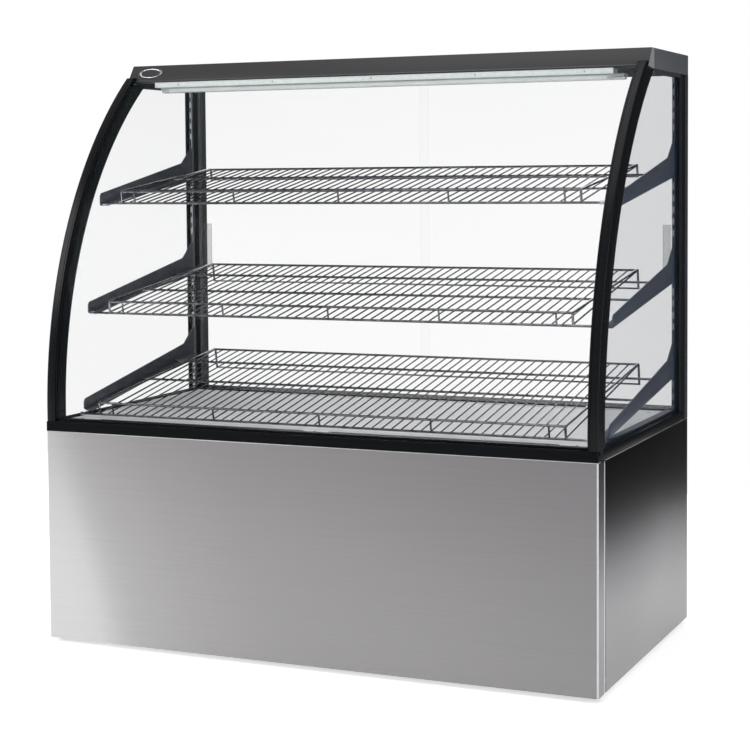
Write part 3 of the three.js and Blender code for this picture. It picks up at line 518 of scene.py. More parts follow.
def levelling_foot(bm, x, y):
    """A moulded pad on a threaded stem with a hexagon nut."""
    pad = [(0, 0), (19.2, 0), (20, 1.2), (20, 4.2), (19, 5.4), (11.5, 7.6), (8, 8.4), (0, 8.4)]
    turned(bm, pad, (x, y, 0), "Z", 32)
    bmesh.ops.create_cone(
        bm, cap_ends=True, segments=6, radius1=9.4, radius2=9.4, depth=6,
        matrix=Matrix.Translation((x, y, 12.2))
    )
    thread = [(0, 8), (4.9, 8)]
    for turn_z in range(9, 43):
        thread += [(4.9, turn_z), (5.9, turn_z + 0.5)]
    turned(bm, thread + [(4.9, 43), (3.6, 44), (0, 44)], (x, y, 0), "Z", 16)


for corner_name in ("front_left", "front_right", "rear_left", "rear_right"):
    node = "foot_" + corner_name
    low, high = size_of(node)
    bm = bmesh.new()
    levelling_foot(bm, (low.x + high.x) / 2, (low.y + high.y) / 2)
    piece("levelling_" + node, bm, "black_plastic", moulded_black, body=node, replaces=[node])

# ---------------------------------------------------------------- rails
rail_low = base_top + 0.3
rail_back = size_of("base_rail_front")[1].y
glass_front_y = front + 6
groove = (glass_front_y - 0.8, glass_front_y + 7.0)
groove_foot = rail_top - 9
between_frames = (-side + 20.6, side - 20.6)
bead = 5  # height of the bead behind the panes

bm = bmesh.new()
section = [
    (front, rail_low), (rail_back, rail_low), (rail_back, rail_top), (groove[1], rail_top),
    (groove[1], groove_foot), (groove[0], groove_foot), (groove[0], rail_top)
]
section += [(p.y, p.z) for p in bow((0, front + 2.5, rail_top - 2.5), 2.5, 90, 180, (0, 1, 0), (0, 0, 1), 4)]
prism(bm, section, "X", (-side, side))
slab(bm, between_frames, (groove[1] + 0.6, rail_back), (rail_top - 1, rail_top + bead), 1.4)
piece("front_rail", bm, "black_aluminium", black_rail, replaces=["base_rail_front"])

bm = bmesh.new()
prism(bm, [
    (groove[0] + 0.2, rail_top - 2), (groove[0] + 0.7, rail_top - 2), (groove[0] + 0.7, rail_top + 1.2),
    (groove[0] - 0.9, rail_top + 0.8), (groove[0] - 0.9, rail_top + 0.1), (groove[0] + 0.2, rail_top + 0.1)
], "X", between_frames)
piece("front_glass_seal", bm, "black_plastic", rubber)

pane_out, pane_in = size_of("side_glass_right")[1].x, size_of("side_glass_right")[0].x
trim_front = size_of("rear_post_right")[0].y
post_back = size_of("rear_post_right")[1].y
post_front = post_back - 36
rail_in = side - 30
frame_back = front + 46  # behind the curved frame's foot


def side_rail(bm):
    """The side rail with its groove for the pane, and a bead inside the pane."""
    ys = (rail_back + 0.3, post_front - 0.3)
    slab(bm, (rail_in, pane_in - 0.8), ys, (rail_low, rail_top), 0.4)
    slab(bm, (pane_in - 1.4, pane_out + 1.2), ys, (rail_low, groove_foot))
    slab(bm, (pane_out + 0.8, side), ys, (rail_low, rail_top), 1.2)
    slab(bm, (rail_in, pane_in - 0.8), (frame_back, trim_front - 0.3), (rail_top - 1, rail_top + bead), 1.4)


def side_seal(bm):
    """The rubber lips along both faces of the side pane."""
    for x0, x1 in ((pane_in - 1.9, pane_in - 0.1), (pane_out + 0.1, pane_out + 1.9)):
        slab(bm, (x0, x1), (frame_back, trim_front - 0.3), (rail_top + 0.05, rail_top + 1.6), 0.5)


both_sides("side_rail", side_rail, "black_aluminium", black_rail, replaces=["base_rail"])
both_sides("side_glass_seal", side_seal, "black_plastic", rubber)
paint(black_rail, "rear_sill")
paint(black_anodised, "door_track_bottom")
paint(grey_anodised, "door_track_top")

# ---------------------------------------------------------------- canopy
fascia_run, fascia_rise = 26, 36.5
fascia_foot = Vector((0, size_of("canopy_fascia")[0].y, top - fascia_rise))
fascia_head = fascia_foot + Vector((0, fascia_run, fascia_rise))
fascia_way = (fascia_head - fascia_foot).normalized()
fascia_out = Vector((0, -fascia_way.z, fascia_way.y))
canopy_low = top - 42
sheet_thick = 2.0
under_top = (top - 3.3, top - 1.8)  # folded edges under the top sheet

bm = bmesh.new()
corners = [
    fascia_foot, fascia_foot - fascia_out * sheet_thick, fascia_head - fascia_out * sheet_thick, fascia_head
]
prism(bm, [(p.y, p.z) for p in corners], "X", (-side, side), 0.7)
lip_start = fascia_foot - fascia_out
slab(bm, (-side + 2.1, side - 2.1), (lip_start.y, lip_start.y + 38), (lip_start.z - 2, lip_start.z), 0.5)
head_start = fascia_head - fascia_out
slab(bm, (-side + 2.1, side - 2.1), (head_start.y, head_start.y + fold), under_top, 0.4)
piece("fascia_sheet", bm, "charcoal_steel", powder_charcoal, replaces=["canopy_fascia"])

# The fascia's folded bottom edge, in the lighter grey finish: a painted highlight along the fold.
bm = bmesh.new()
edge_line = fascia_foot - fascia_out * 0.9 + fascia_way * 1.1
rod(bm, (-side + 0.6, edge_line.y, edge_line.z), (side - 0.6, edge_line.y, edge_line.z), 1.25, 10)
piece("fascia_folded_edge", bm, "grey_steel", grey_anodised)

bm = bmesh.new()
front_row = (fascia_head - fascia_out * 0.2).y + 11
places = [(-540 + 180 * i, front_row) for i in range(7)]
places += [(x, 120 + 90 * i) for i in range(3) for x in (-590, 590)]
for x, y in places:
    screw(bm, (x, y, top - 1.5), "Z", 3.6)
piece("canopy_screws", bm, "charcoal_steel", dark_screw)
paint(powder_charcoal, "canopy_top")

frame_depth = 45
crease_y = curve_y(canopy_low, frame_depth) - 1.5


def cheek(bm):
    """The pressed cheek: its front corner is bent in a little along an upright crease."""
    behind = 2.3
    foot = fascia_foot - fascia_out * behind
    head = fascia_head - fascia_out * behind
    tuck = 1.1
    front_face = [
        (side - tuck, foot.y, foot.z), (side, crease_y, canopy_low + 0.2), (side, crease_y, top),
        (side - tuck, head.y, top)
    ]
    facet = bm.faces.new([bm.verts.new(p) for p in front_face])
    pulled = bmesh.ops.extrude_face_region(bm, geom=[facet])["geom"]
    bmesh.ops.translate(bm, vec=(-1.2, 0, 0), verts=[v for v in pulled if isinstance(v, bmesh.types.BMVert)])
    # The bent facet takes the paler copy of the lacquer: painted light for its differently lit face.
    for f in bm.faces:
        f.material_index = 1
    before = set(bm.faces)
    slab(bm, (side - sheet, side), (crease_y, rear - 1.4), (canopy_low, top), 0.5)
    rod(bm, (side - 1.1, rear - 1.1, canopy_low), (side - 1.1, rear - 1.1, top), 1.1, 10)
    slab(bm, (side - fold, side - sheet), (fascia_head.y + 27, rear - 12), under_top, 0.4)
    for f in set(bm.faces) - before:
        f.material_index = 0


def cheek_channel(bm):
    """The channel under the cheek that holds the side pane's top edge."""
    low_z = canopy_low - 8
    for x0, x1 in ((side - 14, pane_in - 0.8), (pane_out + 0.8, side)):
        prism(bm, [
            (curve_y(low_z, frame_depth) + 1.5, low_z), (trim_front - 0.3, low_z),
            (trim_front - 0.3, canopy_low - 0.1), (curve_y(canopy_low, frame_depth) + 1.5, canopy_low - 0.1)
        ], "X", (x0, x1), 0.6)
    slab(
        bm, (side - 14, side - sheet), (curve_y(canopy_low, frame_depth) + 3, trim_front - 0.3),
        (canopy_low - 1.4, canopy_low - 0.2)
    )


both_sides("canopy_cheek", cheek, "grey_steel", lacquer_grey, lacquer_painted_light, replaces=["canopy_end"])
both_sides("canopy_channel", cheek_channel, "grey_steel", grey_anodised)

# The plain oval plate: a raised rim round a shallow dish.
bm = bmesh.new()
plate_low, plate_high = size_of("badge_plate")
plate_x = (plate_low.x + plate_high.x) / 2
half_x = (plate_high.x - plate_low.x) / 2
profile = [
    (0, 0.55), (0.62, 0.5), (0.8, 0.45), (0.86, 1.05), (0.93, 1.2), (0.985, 0.9), (1.0, 0.1), (1.0, 0.0),
    (0, 0)
]
turned(bm, profile, (0, 0, 0), "Z", 48)
for f in bm.faces:
    f.material_index = int(f.calc_center_median().xy.length < 0.8 and f.calc_center_median().z > 0.2)
oval = Matrix.Diagonal((half_x, 13.0, 1.0, 1.0))
lean = Matrix.Rotation(math.atan2(fascia_rise, fascia_run), 4, "X")
badge_at = (fascia_foot + fascia_head) / 2 + fascia_out * 0.3
bmesh.ops.transform(
    bm, matrix=Matrix.Translation((plate_x, badge_at.y, badge_at.z)) @ lean @ oval, verts=bm.verts
)
piece("oval_plate", bm, "badge_chrome", chrome_trim, powder_charcoal, replaces=["badge_plate"])

# ---------------------------------------------------------------- curved frames and glass
frame_in = side - 20
edge_round = [(p.x, p.y) for p in bow((side - 4.5, 4.5, 0), 4.5, -90, 0, (1, 0, 0), (0, 1, 0), 6)]
FRAME_SECTION = [
    (frame_in, 1.2), (frame_in + 1.2, 0), (frame_in + 3.4, 0), (frame_in + 3.9, 0.9), (frame_in + 4.9, 0.9),
    (frame_in + 5.4, 0)
]
FRAME_SECTION += edge_round
FRAME_SECTION += [
    (side, 30), (side - 0.7, 30.6), (side - 0.7, 31.6), (side, 32.2), (side, 43.4),
    (side - 1.4, frame_depth), (pane_out + 0.8, frame_depth), (pane_out + 0.8, frame_depth - 9),
    (pane_in - 0.8, frame_depth - 9), (pane_in - 0.8, frame_depth), (frame_in + 1.2, frame_depth),
    (frame_in, frame_depth - 1.2), (frame_in, 12.8), (frame_in + 9.3, 12.8), (frame_in + 9.3, 5.2),
    (frame_in, 5.2)
]
frame_top = size_of("end_frame_right")[1].z


def curved_frame(bm):
    """The extrusion from the rail up to the canopy."""
    swept_along_curve(bm, FRAME_SECTION, rail_top - 12, canopy_low + 30)
    trim_mesh(bm, (0, 0, rail_top + 0.4), (0, 0, -1))
    trim_mesh(bm, (0, 0, canopy_low - 0.5), (0, 0, 1))


def frame_tip(bm):
    """The frame's end, rounded off in front of the fascia."""
    solid_section = [(frame_in, 0.6), (frame_in + 0.6, 0)] + edge_round
    solid_section += [(side, frame_depth), (frame_in, frame_depth)]
    swept_along_curve(bm, solid_section, canopy_low - 20, canopy_low + 40, 24)
    trim_mesh(bm, (0, 0, canopy_low - 0.5), (0, 0, -1))
    front_of_fascia = fascia_foot + fascia_out * 0.6
    trim_mesh(bm, front_of_fascia, -fascia_out)
    trim_mesh(bm, (0, 0, frame_top), (0, 0, 1))
    crown = [e for e in bm.edges if all(v.co.z > frame_top - 0.01 for v in e.verts)]
    soften(bm, crown, 7.0, 6)


both_sides("curved_frame", curved_frame, "black_aluminium", black_anodised, replaces=["end_frame"])
both_sides("frame_tip", frame_tip, "black_aluminium", black_anodised)
paint(glass_front, "front_glass")
paint(glass_side, "side_glass_right")
paint(glass_clear, "side_glass_left", "door_left", "door_right")


def pane_seal(bm):
    """The rubber lip between the curved frame and the front pane."""
    strip = [(frame_in - 2.2, 5.0), (frame_in - 0.1, 4.4), (frame_in - 0.1, 5.9), (frame_in - 2.2, 5.9)]
    swept_along_curve(bm, strip, rail_top + 6, canopy_low - 2)


both_sides("front_pane_seal", pane_seal, "black_plastic", rubber)

# ---------------------------------------------------------------- rear posts and doors
doorway = size_of("rear_post_right")[0].x


def rear_post(bm):
    """The post: a channel for the slotted upright, a groove for the pane and a bead down its outer face."""
    slot = (side - 16.7, side - 12.3)
    outline = [
        (doorway, post_front), (slot[0], post_front), (slot[0], post_front + 12),
        (slot[1], post_front + 12), (slot[1], trim_front + 0.4), (slot[1] + 0.4, trim_front),
        (pane_in - 0.8, trim_front), (pane_in - 0.8, trim_front + 9), (pane_out + 0.8, trim_front + 9),
        (pane_out + 0.8, trim_front), (side - 1.2, trim_front), (side, trim_front + 1.2),
        (side, post_front - 1.8), (side - 1.4, post_front - 0.6), (side - 1.4, post_front + 0.6),
        (side, post_front + 1.8), (side, post_back - 1), (side - 1, post_back), (doorway, post_back)
    ]
    prism(bm, outline, "Z", (rail_top + 0.4, canopy_low - 0.4))
    slab(bm, (doorway, side), (post_front, post_back), (rail_low, rail_top + 0.4), 0.3)


def slotted_upright(bm):
    """The steel strip over the post's channel, pierced for the shelf arms."""
    ys = (trim_front + 0.4, trim_front + 1.6)
    x0, x1 = doorway + 0.4, side - 12.4
    slot_x = (side - 16.3, side - 12.8)
    bottom, top = rail_top + 1, canopy_low - 1
    slab(bm, (x0, slot_x[0]), ys, (bottom, top))
    slab(bm, (slot_x[1], x1), ys, (bottom, top))
    arms = [size_of("bracket_" + name + "_right")[1].z for name in ("top", "middle", "bottom")]
    z = bottom
    while z < top:
        if not any(arm - 112 < z < arm + 3 for arm in arms):
            slab(bm, slot_x, ys, (z, min(z + 14, top)))
        z += 25
    slab(bm, (x0, x0 + 1.2), (ys[1], post_front - 0.2), (bottom, top))


both_sides("rear_post_shell", rear_post, "black_aluminium", black_anodised, replaces=["rear_post"])
both_sides("slotted_upright", slotted_upright, "satin_steel", natural_anodised)
paint(grey_anodised, "rear_jamb_right", "rear_jamb_left")

for hand, flip in (("right", 1), ("left", -1)):
    low, high = size_of("door_" + hand)
    middle_y = (low.y + high.y) / 2
    far = max(abs(low.x), abs(high.x))
    bm = bmesh.new()  # a moulded half-round grip on a thin rim
    pull_low, pull_high = size_of("door_pull_" + hand)
    grip_x = abs(pull_low.x + pull_high.x) / 2
    grip = [(p.x, p.y) for p in bow((grip_x, pull_low.y, 0), 9, 0, 180, (1, 0, 0), (0, 1, 0), 12)]
    prism(bm, grip, "Z", (pull_low.z + 1.5, pull_high.z - 1.5), 1.2, 3)
    slab(bm, (grip_x - 8.8, grip_x + 8.8), (pull_low.y, pull_low.y + 1.0), (pull_low.z, pull_high.z), 0.4)
    piece(
        "door_grip_" + hand, bm, "clear_plastic", clear_moulding, body="door_" + hand,
        replaces=["door_pull_" + hand], flip=flip
    )
    bm = bmesh.new()
    for ys in ((middle_y - 4.1, middle_y - 2.6), (middle_y + 2.6, middle_y + 4.1)):
        slab(bm, (far - 7, far - 1), ys, (low.z + 16, high.z - 14), 0.4)
    piece("door_edge_seal_" + hand, bm, "clear_plastic", clear_seal, body="door_" + hand, flip=flip)

# ---------------------------------------------------------------- lamp
body_low, body_high = size_of("lamp_housing")
wall = 2.0
length, depth, height = [(body_low[i], body_high[i]) for i in range(3)]
walls_z = (height[0], height[1] - 1)
bm = bmesh.new()
slab(bm, length, depth, (height[1] - 3, height[1]), 0.8)
for ys in ((depth[0], depth[0] + wall), (depth[1] - wall, depth[1])):
    slab(bm, length, ys, walls_z, 0.8)
for xs in ((length[0], length[0] + wall), (length[1] - wall, length[1])):
    slab(bm, xs, depth, walls_z, 0.8)
slab(
    bm, (body_low.x + 3, body_high.x - 3), (body_low.y + 3, body_high.y - 3),
    (body_low.z + 2.6, body_low.z + 4), 0.4
)
piece("lamp_body", bm, "lamp_white", lamp_white, replaces=["lamp_housing"])

bm = bmesh.new()
for i in range(5):
    x = body_low.x + 60 + i * (body_high.x - body_low.x - 120) / 4
    turned(
        bm, [(0, 0.2), (1.6, 0.1), (2.2, 0.5), (2.5, 0.9), (0, 0.9)],
        (x, body_low.y - 0.15, (body_low.z + body_high.z) / 2), "Y", 12
    )
piece("lamp_screws", bm, "black_plastic", dark_screw)

cover_low, cover_high = size_of("lamp_diffuser")
cover_y = (cover_low.y + cover_high.y) / 2
cover_r = (cover_high.y - cover_low.y) / 2
bm = bmesh.new()
hood = [
    (-cover_r, cover_high.z), (-cover_r, cover_high.z - 4), (-cover_r + 4, cover_low.z + 1.2),
    (-cover_r + 7, cover_low.z)
]
hood += [(-a, b) for a, b in reversed(hood)]
prism(bm, [(cover_y + a, b) for a, b in hood], "X", (cover_low.x, cover_high.x))
ends = [e for e in bm.edges if abs(e.verts[0].co.x - e.verts[1].co.x) < 0.01]
soften(bm, [e for e in ends if (e.verts[0].co.z + e.verts[1].co.z) / 2 < cover_high.z - 6], 5.0, 3)
piece("lamp_cover", bm, "clear_plastic", lamp_cover, replaces=["lamp_diffuser"])

bm = bmesh.new()
tube_z = cover_low.z + 6.2
rod(bm, (body_low.x + 26, cover_y, tube_z), (body_high.x - 12, cover_y, tube_z), 3.6, 16)
piece("lamp_tube", bm, "lamp_white", lamp_tube)
bm = bmesh.new()
for x0, x1 in ((body_low.x + 18, body_low.x + 30), (body_high.x - 16, body_high.x - 4)):
    rod(bm, (x0, cover_y, tube_z), (x1, cover_y, tube_z), 4.6, 16)
    slab(bm, (x0 + 2, x1 - 2), (cover_y - 4, cover_y + 4), (tube_z, cover_high.z - 0.4), 0.6)
piece("lamp_holders", bm, "white_plastic", moulded_white)

# ---------------------------------------------------------------- wire shelves and their arms
SLOPE = 0.172  # the decks rise this much towards the back
tilt = math.atan(SLOPE)
wire, thin_wire = 2.5, 1.5  # radii
lip = 25  # height of the wire along the front edge
deck_half = side - 85
post_pitch = 241
SHELVES = {"top": (24, 25), "middle": (40, 25), "bottom": (44, 48)}  # rear leg, arm's setback


def wire_shelf(name, rear_leg):
    """A wire deck with its upright lip and rear leg; returns where the deck starts."""
    low, high = size_of("shelf_" + name)
    lead = wire * math.cos(tilt) + (lip + wire) * math.sin(tilt)
    start_y = low.y + lead
    start_z = low.z + 4 * (math.sin(tilt) + math.cos(tilt))
    run = (high.y - start_y - rear_leg * math.sin(tilt)) / math.cos(tilt) - wire

    def at(x, s, n):
        """A place s along the deck and n above it."""
        y = start_y + s * math.cos(tilt) - n * math.sin(tilt)
        return x, y, start_z + s * math.sin(tilt) + n * math.cos(tilt)

    bm = bmesh.new()
    count = round(2 * deck_half / 21)
    for i in range(1, count):
        x = -deck_half + i * 2 * deck_half / count
        rod(bm, at(x, 0, 2.2), at(x, run, 2.2), thin_wire, 8)
    for back in (95, 250):
        rod(bm, at(-side + 28, run - back, -1.6), at(side - 28, run - back, -1.6), wire, 10)
    rod(bm, at(-side + 39, 0, -0.4), at(side - 39, 0, -0.4), wire, 10)
    rod(bm, at(-deck_half, run, 2.5), at(deck_half, run, 2.5), wire, 10)
    rod(bm, at(-deck_half, run, -rear_leg + 2.5), at(deck_half, run, -rear_leg + 2.5), thin_wire + 0.4, 8)
    for sign in (-1, 1):
        x = sign * deck_half
        bent_rod(bm, [
            at(x, *place)
            for place in ((0, -0.4), (0, lip - 3), (3, lip), (run - 3, 4.5), (run, 2), (run, -rear_leg + 1))
        ], wire, 10)
        rod(bm, at(x, 0, 2.2), at(x, run, 2.2), thin_wire + 0.3, 8)
    rod(bm, at(-deck_half, 0, lip), at(deck_half, 0, lip), wire, 10)
    x = -math.floor(deck_half / post_pitch) * post_pitch
    while x < deck_half:
        rod(bm, at(x, 0, 0), at(x, 0, lip - 1), 2.0, 8)
        x += post_pitch
    piece(
        "wire_shelf_" + name, bm, "chrome_wire", chrome_wire, body="shelf_" + name,
        replaces=["shelf_" + name]
    )
    bm = bmesh.new()
    for sign in (-1, 1):
        x = sign * (side - 39 - 4)
        rod(bm, at(x - 5, 0, -0.4), at(x + 5, 0, -0.4), 3.6, 14)
    piece("wire_shelf_clips_" + name, bm, "chrome_wire", chrome_trim, body="shelf_" + name)
    return start_y, start_z


def shelf_arm(name, start_y, start_z, short):
    """The tapered arm: a pressed web, a ledge for the shelf's wires and two hooks."""
    tip, kink, hook_y = start_y + short, post_front - 55, post_front + 10
    ledge_ends = (tip + 4, post_front - 24)
    top_slope, low_slope, hook_slope = 0.186, 0.13, 0.8
    wire_drop, ledge_thick = 8.1, 3

    def deck_at(y):
        return start_z + SLOPE * (y - start_y)

    def low(y):
        return deck_at(post_front) - 29 - low_slope * (post_front - y)

    kink_top = low(kink) + 48
    web = [
        (tip, low(tip) + 3), (tip + 4, low(tip + 4)), (post_front, low(post_front)),
        (post_front, kink_top + hook_slope * (post_front - kink)), (kink, kink_top),
        (tip + 5, kink_top - top_slope * (kink - tip - 5)), (tip, kink_top - top_slope * (kink - tip) - 5)
    ]
    ledge = [(y, deck_at(y) - wire_drop - ledge_thick) for y in ledge_ends]
    ledge += [(y, deck_at(y) - wire_drop) for y in reversed(ledge_ends)]

    def build(bm):
        """The web, the ledge and the two hooks."""
        prism(bm, web, "X", (side - 16, side - 13.2), 0.6)
        prism(bm, ledge, "X", (side - 34, side - 15.5), 0.5)
        for z in (low(post_front) + 8, kink_top - 6):
            prism(bm, [
                (post_front - 1, z - 5), (hook_y - 0.6, z - 7), (hook_y - 0.6, z + 3),
                (post_front - 1, z + 5)
            ], "X", (side - 15.8, side - 13.4), 0.4)

    both_sides("shelf_arm_" + name, build, "bracket_steel", arm_steel, replaces=["bracket_" + name])


for shelf_name, (leg, short) in SHELVES.items():
    shelf_y, shelf_z = wire_shelf(shelf_name, leg)
    shelf_arm(shelf_name, shelf_y, shelf_z, short)

# ---------------------------------------------------------------- cold deck and well
paint(deck_steel, "cold_deck")
paint(satin_stainless, "cold_tub")
deck_low, deck_high = size_of("cold_deck")

bm = bmesh.new()
slot_y = (deck_low.y + 5, deck_low.y + 35)
for sign in (-1, 1):
    start = 30 if sign > 0 else -(deck_high.x - 62)
    span = deck_high.x - 92
    count = int(span / 9)
    for i in range(count):
        x = start + i * span / count + 3
        slab(bm, (x, x + 1.2), slot_y, (deck_high.z - 13, deck_high.z - 4))
    for ys in ((slot_y[0] - 1, slot_y[0] + 0.4), (slot_y[1] - 0.4, slot_y[1] + 1)):
        slab(bm, (start, start + span), ys, (deck_high.z - 14, deck_high.z - 2), 0.3)
# A black plate under the slots: painted shade for the dark inside the air duct below them.
slab(bm, (-deck_high.x + 40, deck_high.x - 40), slot_y, (deck_high.z - 15, deck_high.z - 14))
piece("air_grille", bm, "black_aluminium", black_rail)

bm = bmesh.new()
for x in (-deck_high.x + 26, 0, deck_high.x - 26):
    for y in (deck_low.y + 20, deck_high.y - 40):
        screw(bm, (x, y, deck_high.z - 0.6), "Z", 4)
piece("deck_screws", bm, "satin_steel", zinc_screw)

# ---------------------------------------------------------------- machine


def finned_block(name, node, pitch, rows, columns):
    """Thin fins on rows of copper tube, with return bends at both ends and a frame plate at each end."""
    low, high = size_of(node)
    inset = 14
    fins = int((high.x - low.x - 2 * inset) / pitch)
    bm = bmesh.new()
    for i in range(fins + 1):
        x = low.x + inset + i * (high.x - low.x - 2 * inset) / fins
        slab(bm, (x - 0.35, x + 0.35), (low.y + 2, high.y - 2), (low.z + 3, high.z - 2))
    piece(name + "_fins", bm, "coil_metal", fin_stock, replaces=[node])
    bm = bmesh.new()
    for x in (low.x + inset - 3, high.x - inset + 2):
        slab(bm, (x, x + 1.2), (low.y, high.y), (low.z, high.z), 0.3)
        slab(bm, (x - 6, x + 7), (low.y, high.y), (low.z, low.z + 1.2), 0.3)
    piece(name + "_end_plates", bm, "galvanised", galvanised)
    bm = bmesh.new()
    ys = [low.y + (high.y - low.y) * (j + 0.5) / columns for j in range(columns)]
    zs = [low.z + 12 + (high.z - low.z - 24) * k / (rows - 1) for k in range(rows)]
    reach = inset - 7
    for y in ys:
        for k, z in enumerate(zs):
            rod(bm, (low.x + reach, y, z), (high.x - reach, y, z), 4.2, 10)
        for k in range(rows - 1):
            x, out = (high.x - reach, 1) if k % 2 else (low.x + reach, -1)
            half = (zs[k + 1] - zs[k]) / 2
            squeeze = min(1.0, (reach - 4.4) / half)
            turn = [
                Vector((x + (p.x - x) * squeeze * out, y, p.z))
                for p in bow((x, y, zs[k] + half), half, -90, 90, (1, 0, 0), (0, 0, 1), 10)
            ]
            bent_rod(bm, turn, 4.2, 10)
    piece(name + "_tubes", bm, "coil_metal", copper_tube)


finned_block("condenser", "condenser_coil", 4.2, 8, 2)
finned_block("evaporator", "evaporator_coil", 5.0, 3, 5)


def fan(name, node, body, blades=5, pitch=34):
    """A moulded wheel turning about Y: a domed hub and swept, twisted blades at a pitch in degrees."""
    low, high = size_of(node)
    centre = (low + high) / 2
    reach = (high.x - low.x) / 2
    thick = (high.y - low.y) / 2
    hub = reach * 0.26
    bm = bmesh.new()
    dome = [
        (0, -thick), (hub * 0.7, -thick), (hub * 0.94, -thick * 0.8), (hub, -thick * 0.5),
        (hub, thick * 0.9), (hub * 0.5, thick * 0.9), (hub * 0.45, thick * 0.5), (0, thick * 0.5)
    ]
    turned(bm, dome, centre, "Y", 32)
    for i in range(blades):
        leaf = bmesh.ops.create_grid(bm, x_segments=8, y_segments=7, size=0.5)["verts"]
        for v in leaf:
            share = v.co.y + 0.5
            r = hub * 0.92 + (reach * 0.985 - hub * 0.92) * share
            wide = reach * (0.3 + 0.34 * math.sin(math.pi * min(1, share * 0.85 + 0.1)))
            sweep = 0.28 * share
            twist = math.radians(pitch * (1.25 - 0.5 * share))
            along = v.co.x * wide
            corner = 1 - 0.16 * (abs(v.co.x) * 2) ** 3 * share
            angle = 2 * math.pi * i / blades + sweep + along * math.cos(twist) / max(r, 1)
            lift = along * math.sin(twist) * 0.62 + 0.02 * reach * math.cos(v.co.x * math.pi)
            r *= corner
            lift = max(-thick * 0.9, min(thick * 0.9, lift))
            v.co = Vector((centre.x + r * math.sin(angle), centre.y + lift, centre.z + r * math.cos(angle)))
        faces = list({f for v in leaf for f in v.link_faces})
        bmesh.ops.solidify(bm, geom=faces, thickness=1.3)
    piece(name, bm, "fan_black", moulded_black, body=body, replaces=[node], crisp=math.radians(50))


fan("condenser_fan_blades", "condenser_fan_wheel", "condenser_fan")
fan("evaporator_fan_blades", "evaporator_fan_wheel", "evaporator_fan")


def fan_motor(name, node, wheel, can_radius, arm_gap):
    """A round can with cooling ribs on a strap stand with two bolted feet."""
    low, high = size_of(node)
    hub_low, hub_high = size_of(wheel)
    x, z = (hub_low.x + hub_high.x) / 2, (hub_low.z + hub_high.z) / 2
    near = hub_low.y if low.y < hub_low.y else hub_high.y
    bm = bmesh.new()
    start, end = (low.y + 2, near - 4) if low.y < hub_low.y else (near + 5, high.y)
    r = can_radius
    ribs = [(0, start), (r * 0.8, start), (r * 0.94, start + 1.5)]
    count = 6
    for i in range(count):
        a = start + 3 + (end - start - 6) * i / count
        b = start + 3 + (end - start - 6) * (i + 0.5) / count
        ribs += [(r, a), (r, b), (r * 0.94, b + 0.4), (r * 0.94, a + (end - start - 6) / count - 0.4)]
    ribs += [(r * 0.9, end - 1.5), (r * 0.5, end), (0, end)]
    turned(bm, ribs, (x, 0, z), "Y", 32)
    middle = (start + end) / 2
    for arm in (x - arm_gap, x + arm_gap):
        slab(bm, (arm - 5, arm + 5), (middle - 1.2, middle + 1.2), (low.z, z), 0.4)
        slab(bm, (arm - 5, arm + 5), (middle - 12, middle + 12), (low.z, low.z + 2), 0.6)
        screw(bm, (arm, middle - 7, low.z + 2), "Z", 3.2)
    slab(bm, (x - arm_gap - 5, x + arm_gap + 5), (middle - 1.2, middle + 1.2), (z - 5, z + 5), 0.4)
    piece(name, bm, "motor_black", shell_enamel, replaces=[node])


fan_motor("condenser_motor", "condenser_fan_motor", "condenser_fan_wheel", 35, 64)
fan_motor("evaporator_motor", "evaporator_fan_motor", "evaporator_fan_wheel", 21, 27)

# the fan's duct: a plate with a round mouth, both edges turned back
low, high = size_of("fan_shroud")
bm = bmesh.new()
bore = 98.0
mouth = Matrix.Translation(((low.x + high.x) / 2, low.y + 1, (low.z + high.z) / 2))
mouth = mouth @ Matrix.Rotation(math.pi / 2, 4, "X")
ring = bmesh.ops.create_circle(bm, segments=64, radius=bore, matrix=mouth)["verts"]
hole = list({e for v in ring for e in v.link_edges})
corners = ((low.x, low.z), (high.x, low.z), (high.x, high.z), (low.x, high.z))
edge = [bm.verts.new((x, low.y + 1, z)) for x, z in corners]
border = [bm.edges.new((edge[i], edge[(i + 1) % 4])) for i in range(4)]
bmesh.ops.triangle_fill(bm, edges=hole + border, use_beauty=True)
bmesh.ops.recalc_face_normals(bm, faces=bm.faces)
rim = bmesh.ops.extrude_edge_only(bm, edges=hole + border)["geom"]
bmesh.ops.translate(
    bm, vec=(0, high.y - low.y - 2, 0), verts=[v for v in rim if isinstance(v, bmesh.types.BMVert)]
)
bmesh.ops.solidify(bm, geom=bm.faces[:], thickness=1.1)
piece("fan_duct", bm, "galvanised", galvanised, replaces=["fan_shroud"])

# the compressor: a two-part welded shell on a bed plate with rubber feet
low, high = size_of("compressor")
cx, cy = -330.0, 80.0
r = 78
h = high.z - low.z
bm = bmesh.new()
shell = [
    (0, 15), (r * 0.66, 15), (r * 0.86, 19), (r * 0.96, 30), (r * 0.97, h * 0.5), (r, h * 0.5 + 1),
    (r, h * 0.5 + 8), (r * 0.97, h * 0.5 + 9)
]
shell += [(p.x, p.z) for p in bow((0, 0, h * 0.6), 1, 0, 90, (r * 0.965, 0, 0), (0, 0, h * 0.4), 10)]
turned(bm, [(a, low.z + b) for a, b in shell], (cx, cy, 0), "Z", 48)
slab(bm, (cx - r - 11, cx + r + 11), (cy - 0.85 * r + 1, cy + 0.85 * r - 1), (low.z + 9, low.z + 12), 1.2)
slab(bm, (cx + r - 9, cx + r + 21), (cy - 25, cy + 25), (low.z + h * 0.31, low.z + h * 0.67), 3, 3)
piece("compressor_shell", bm, "motor_black", shell_enamel, replaces=["compressor"])
bm = bmesh.new()
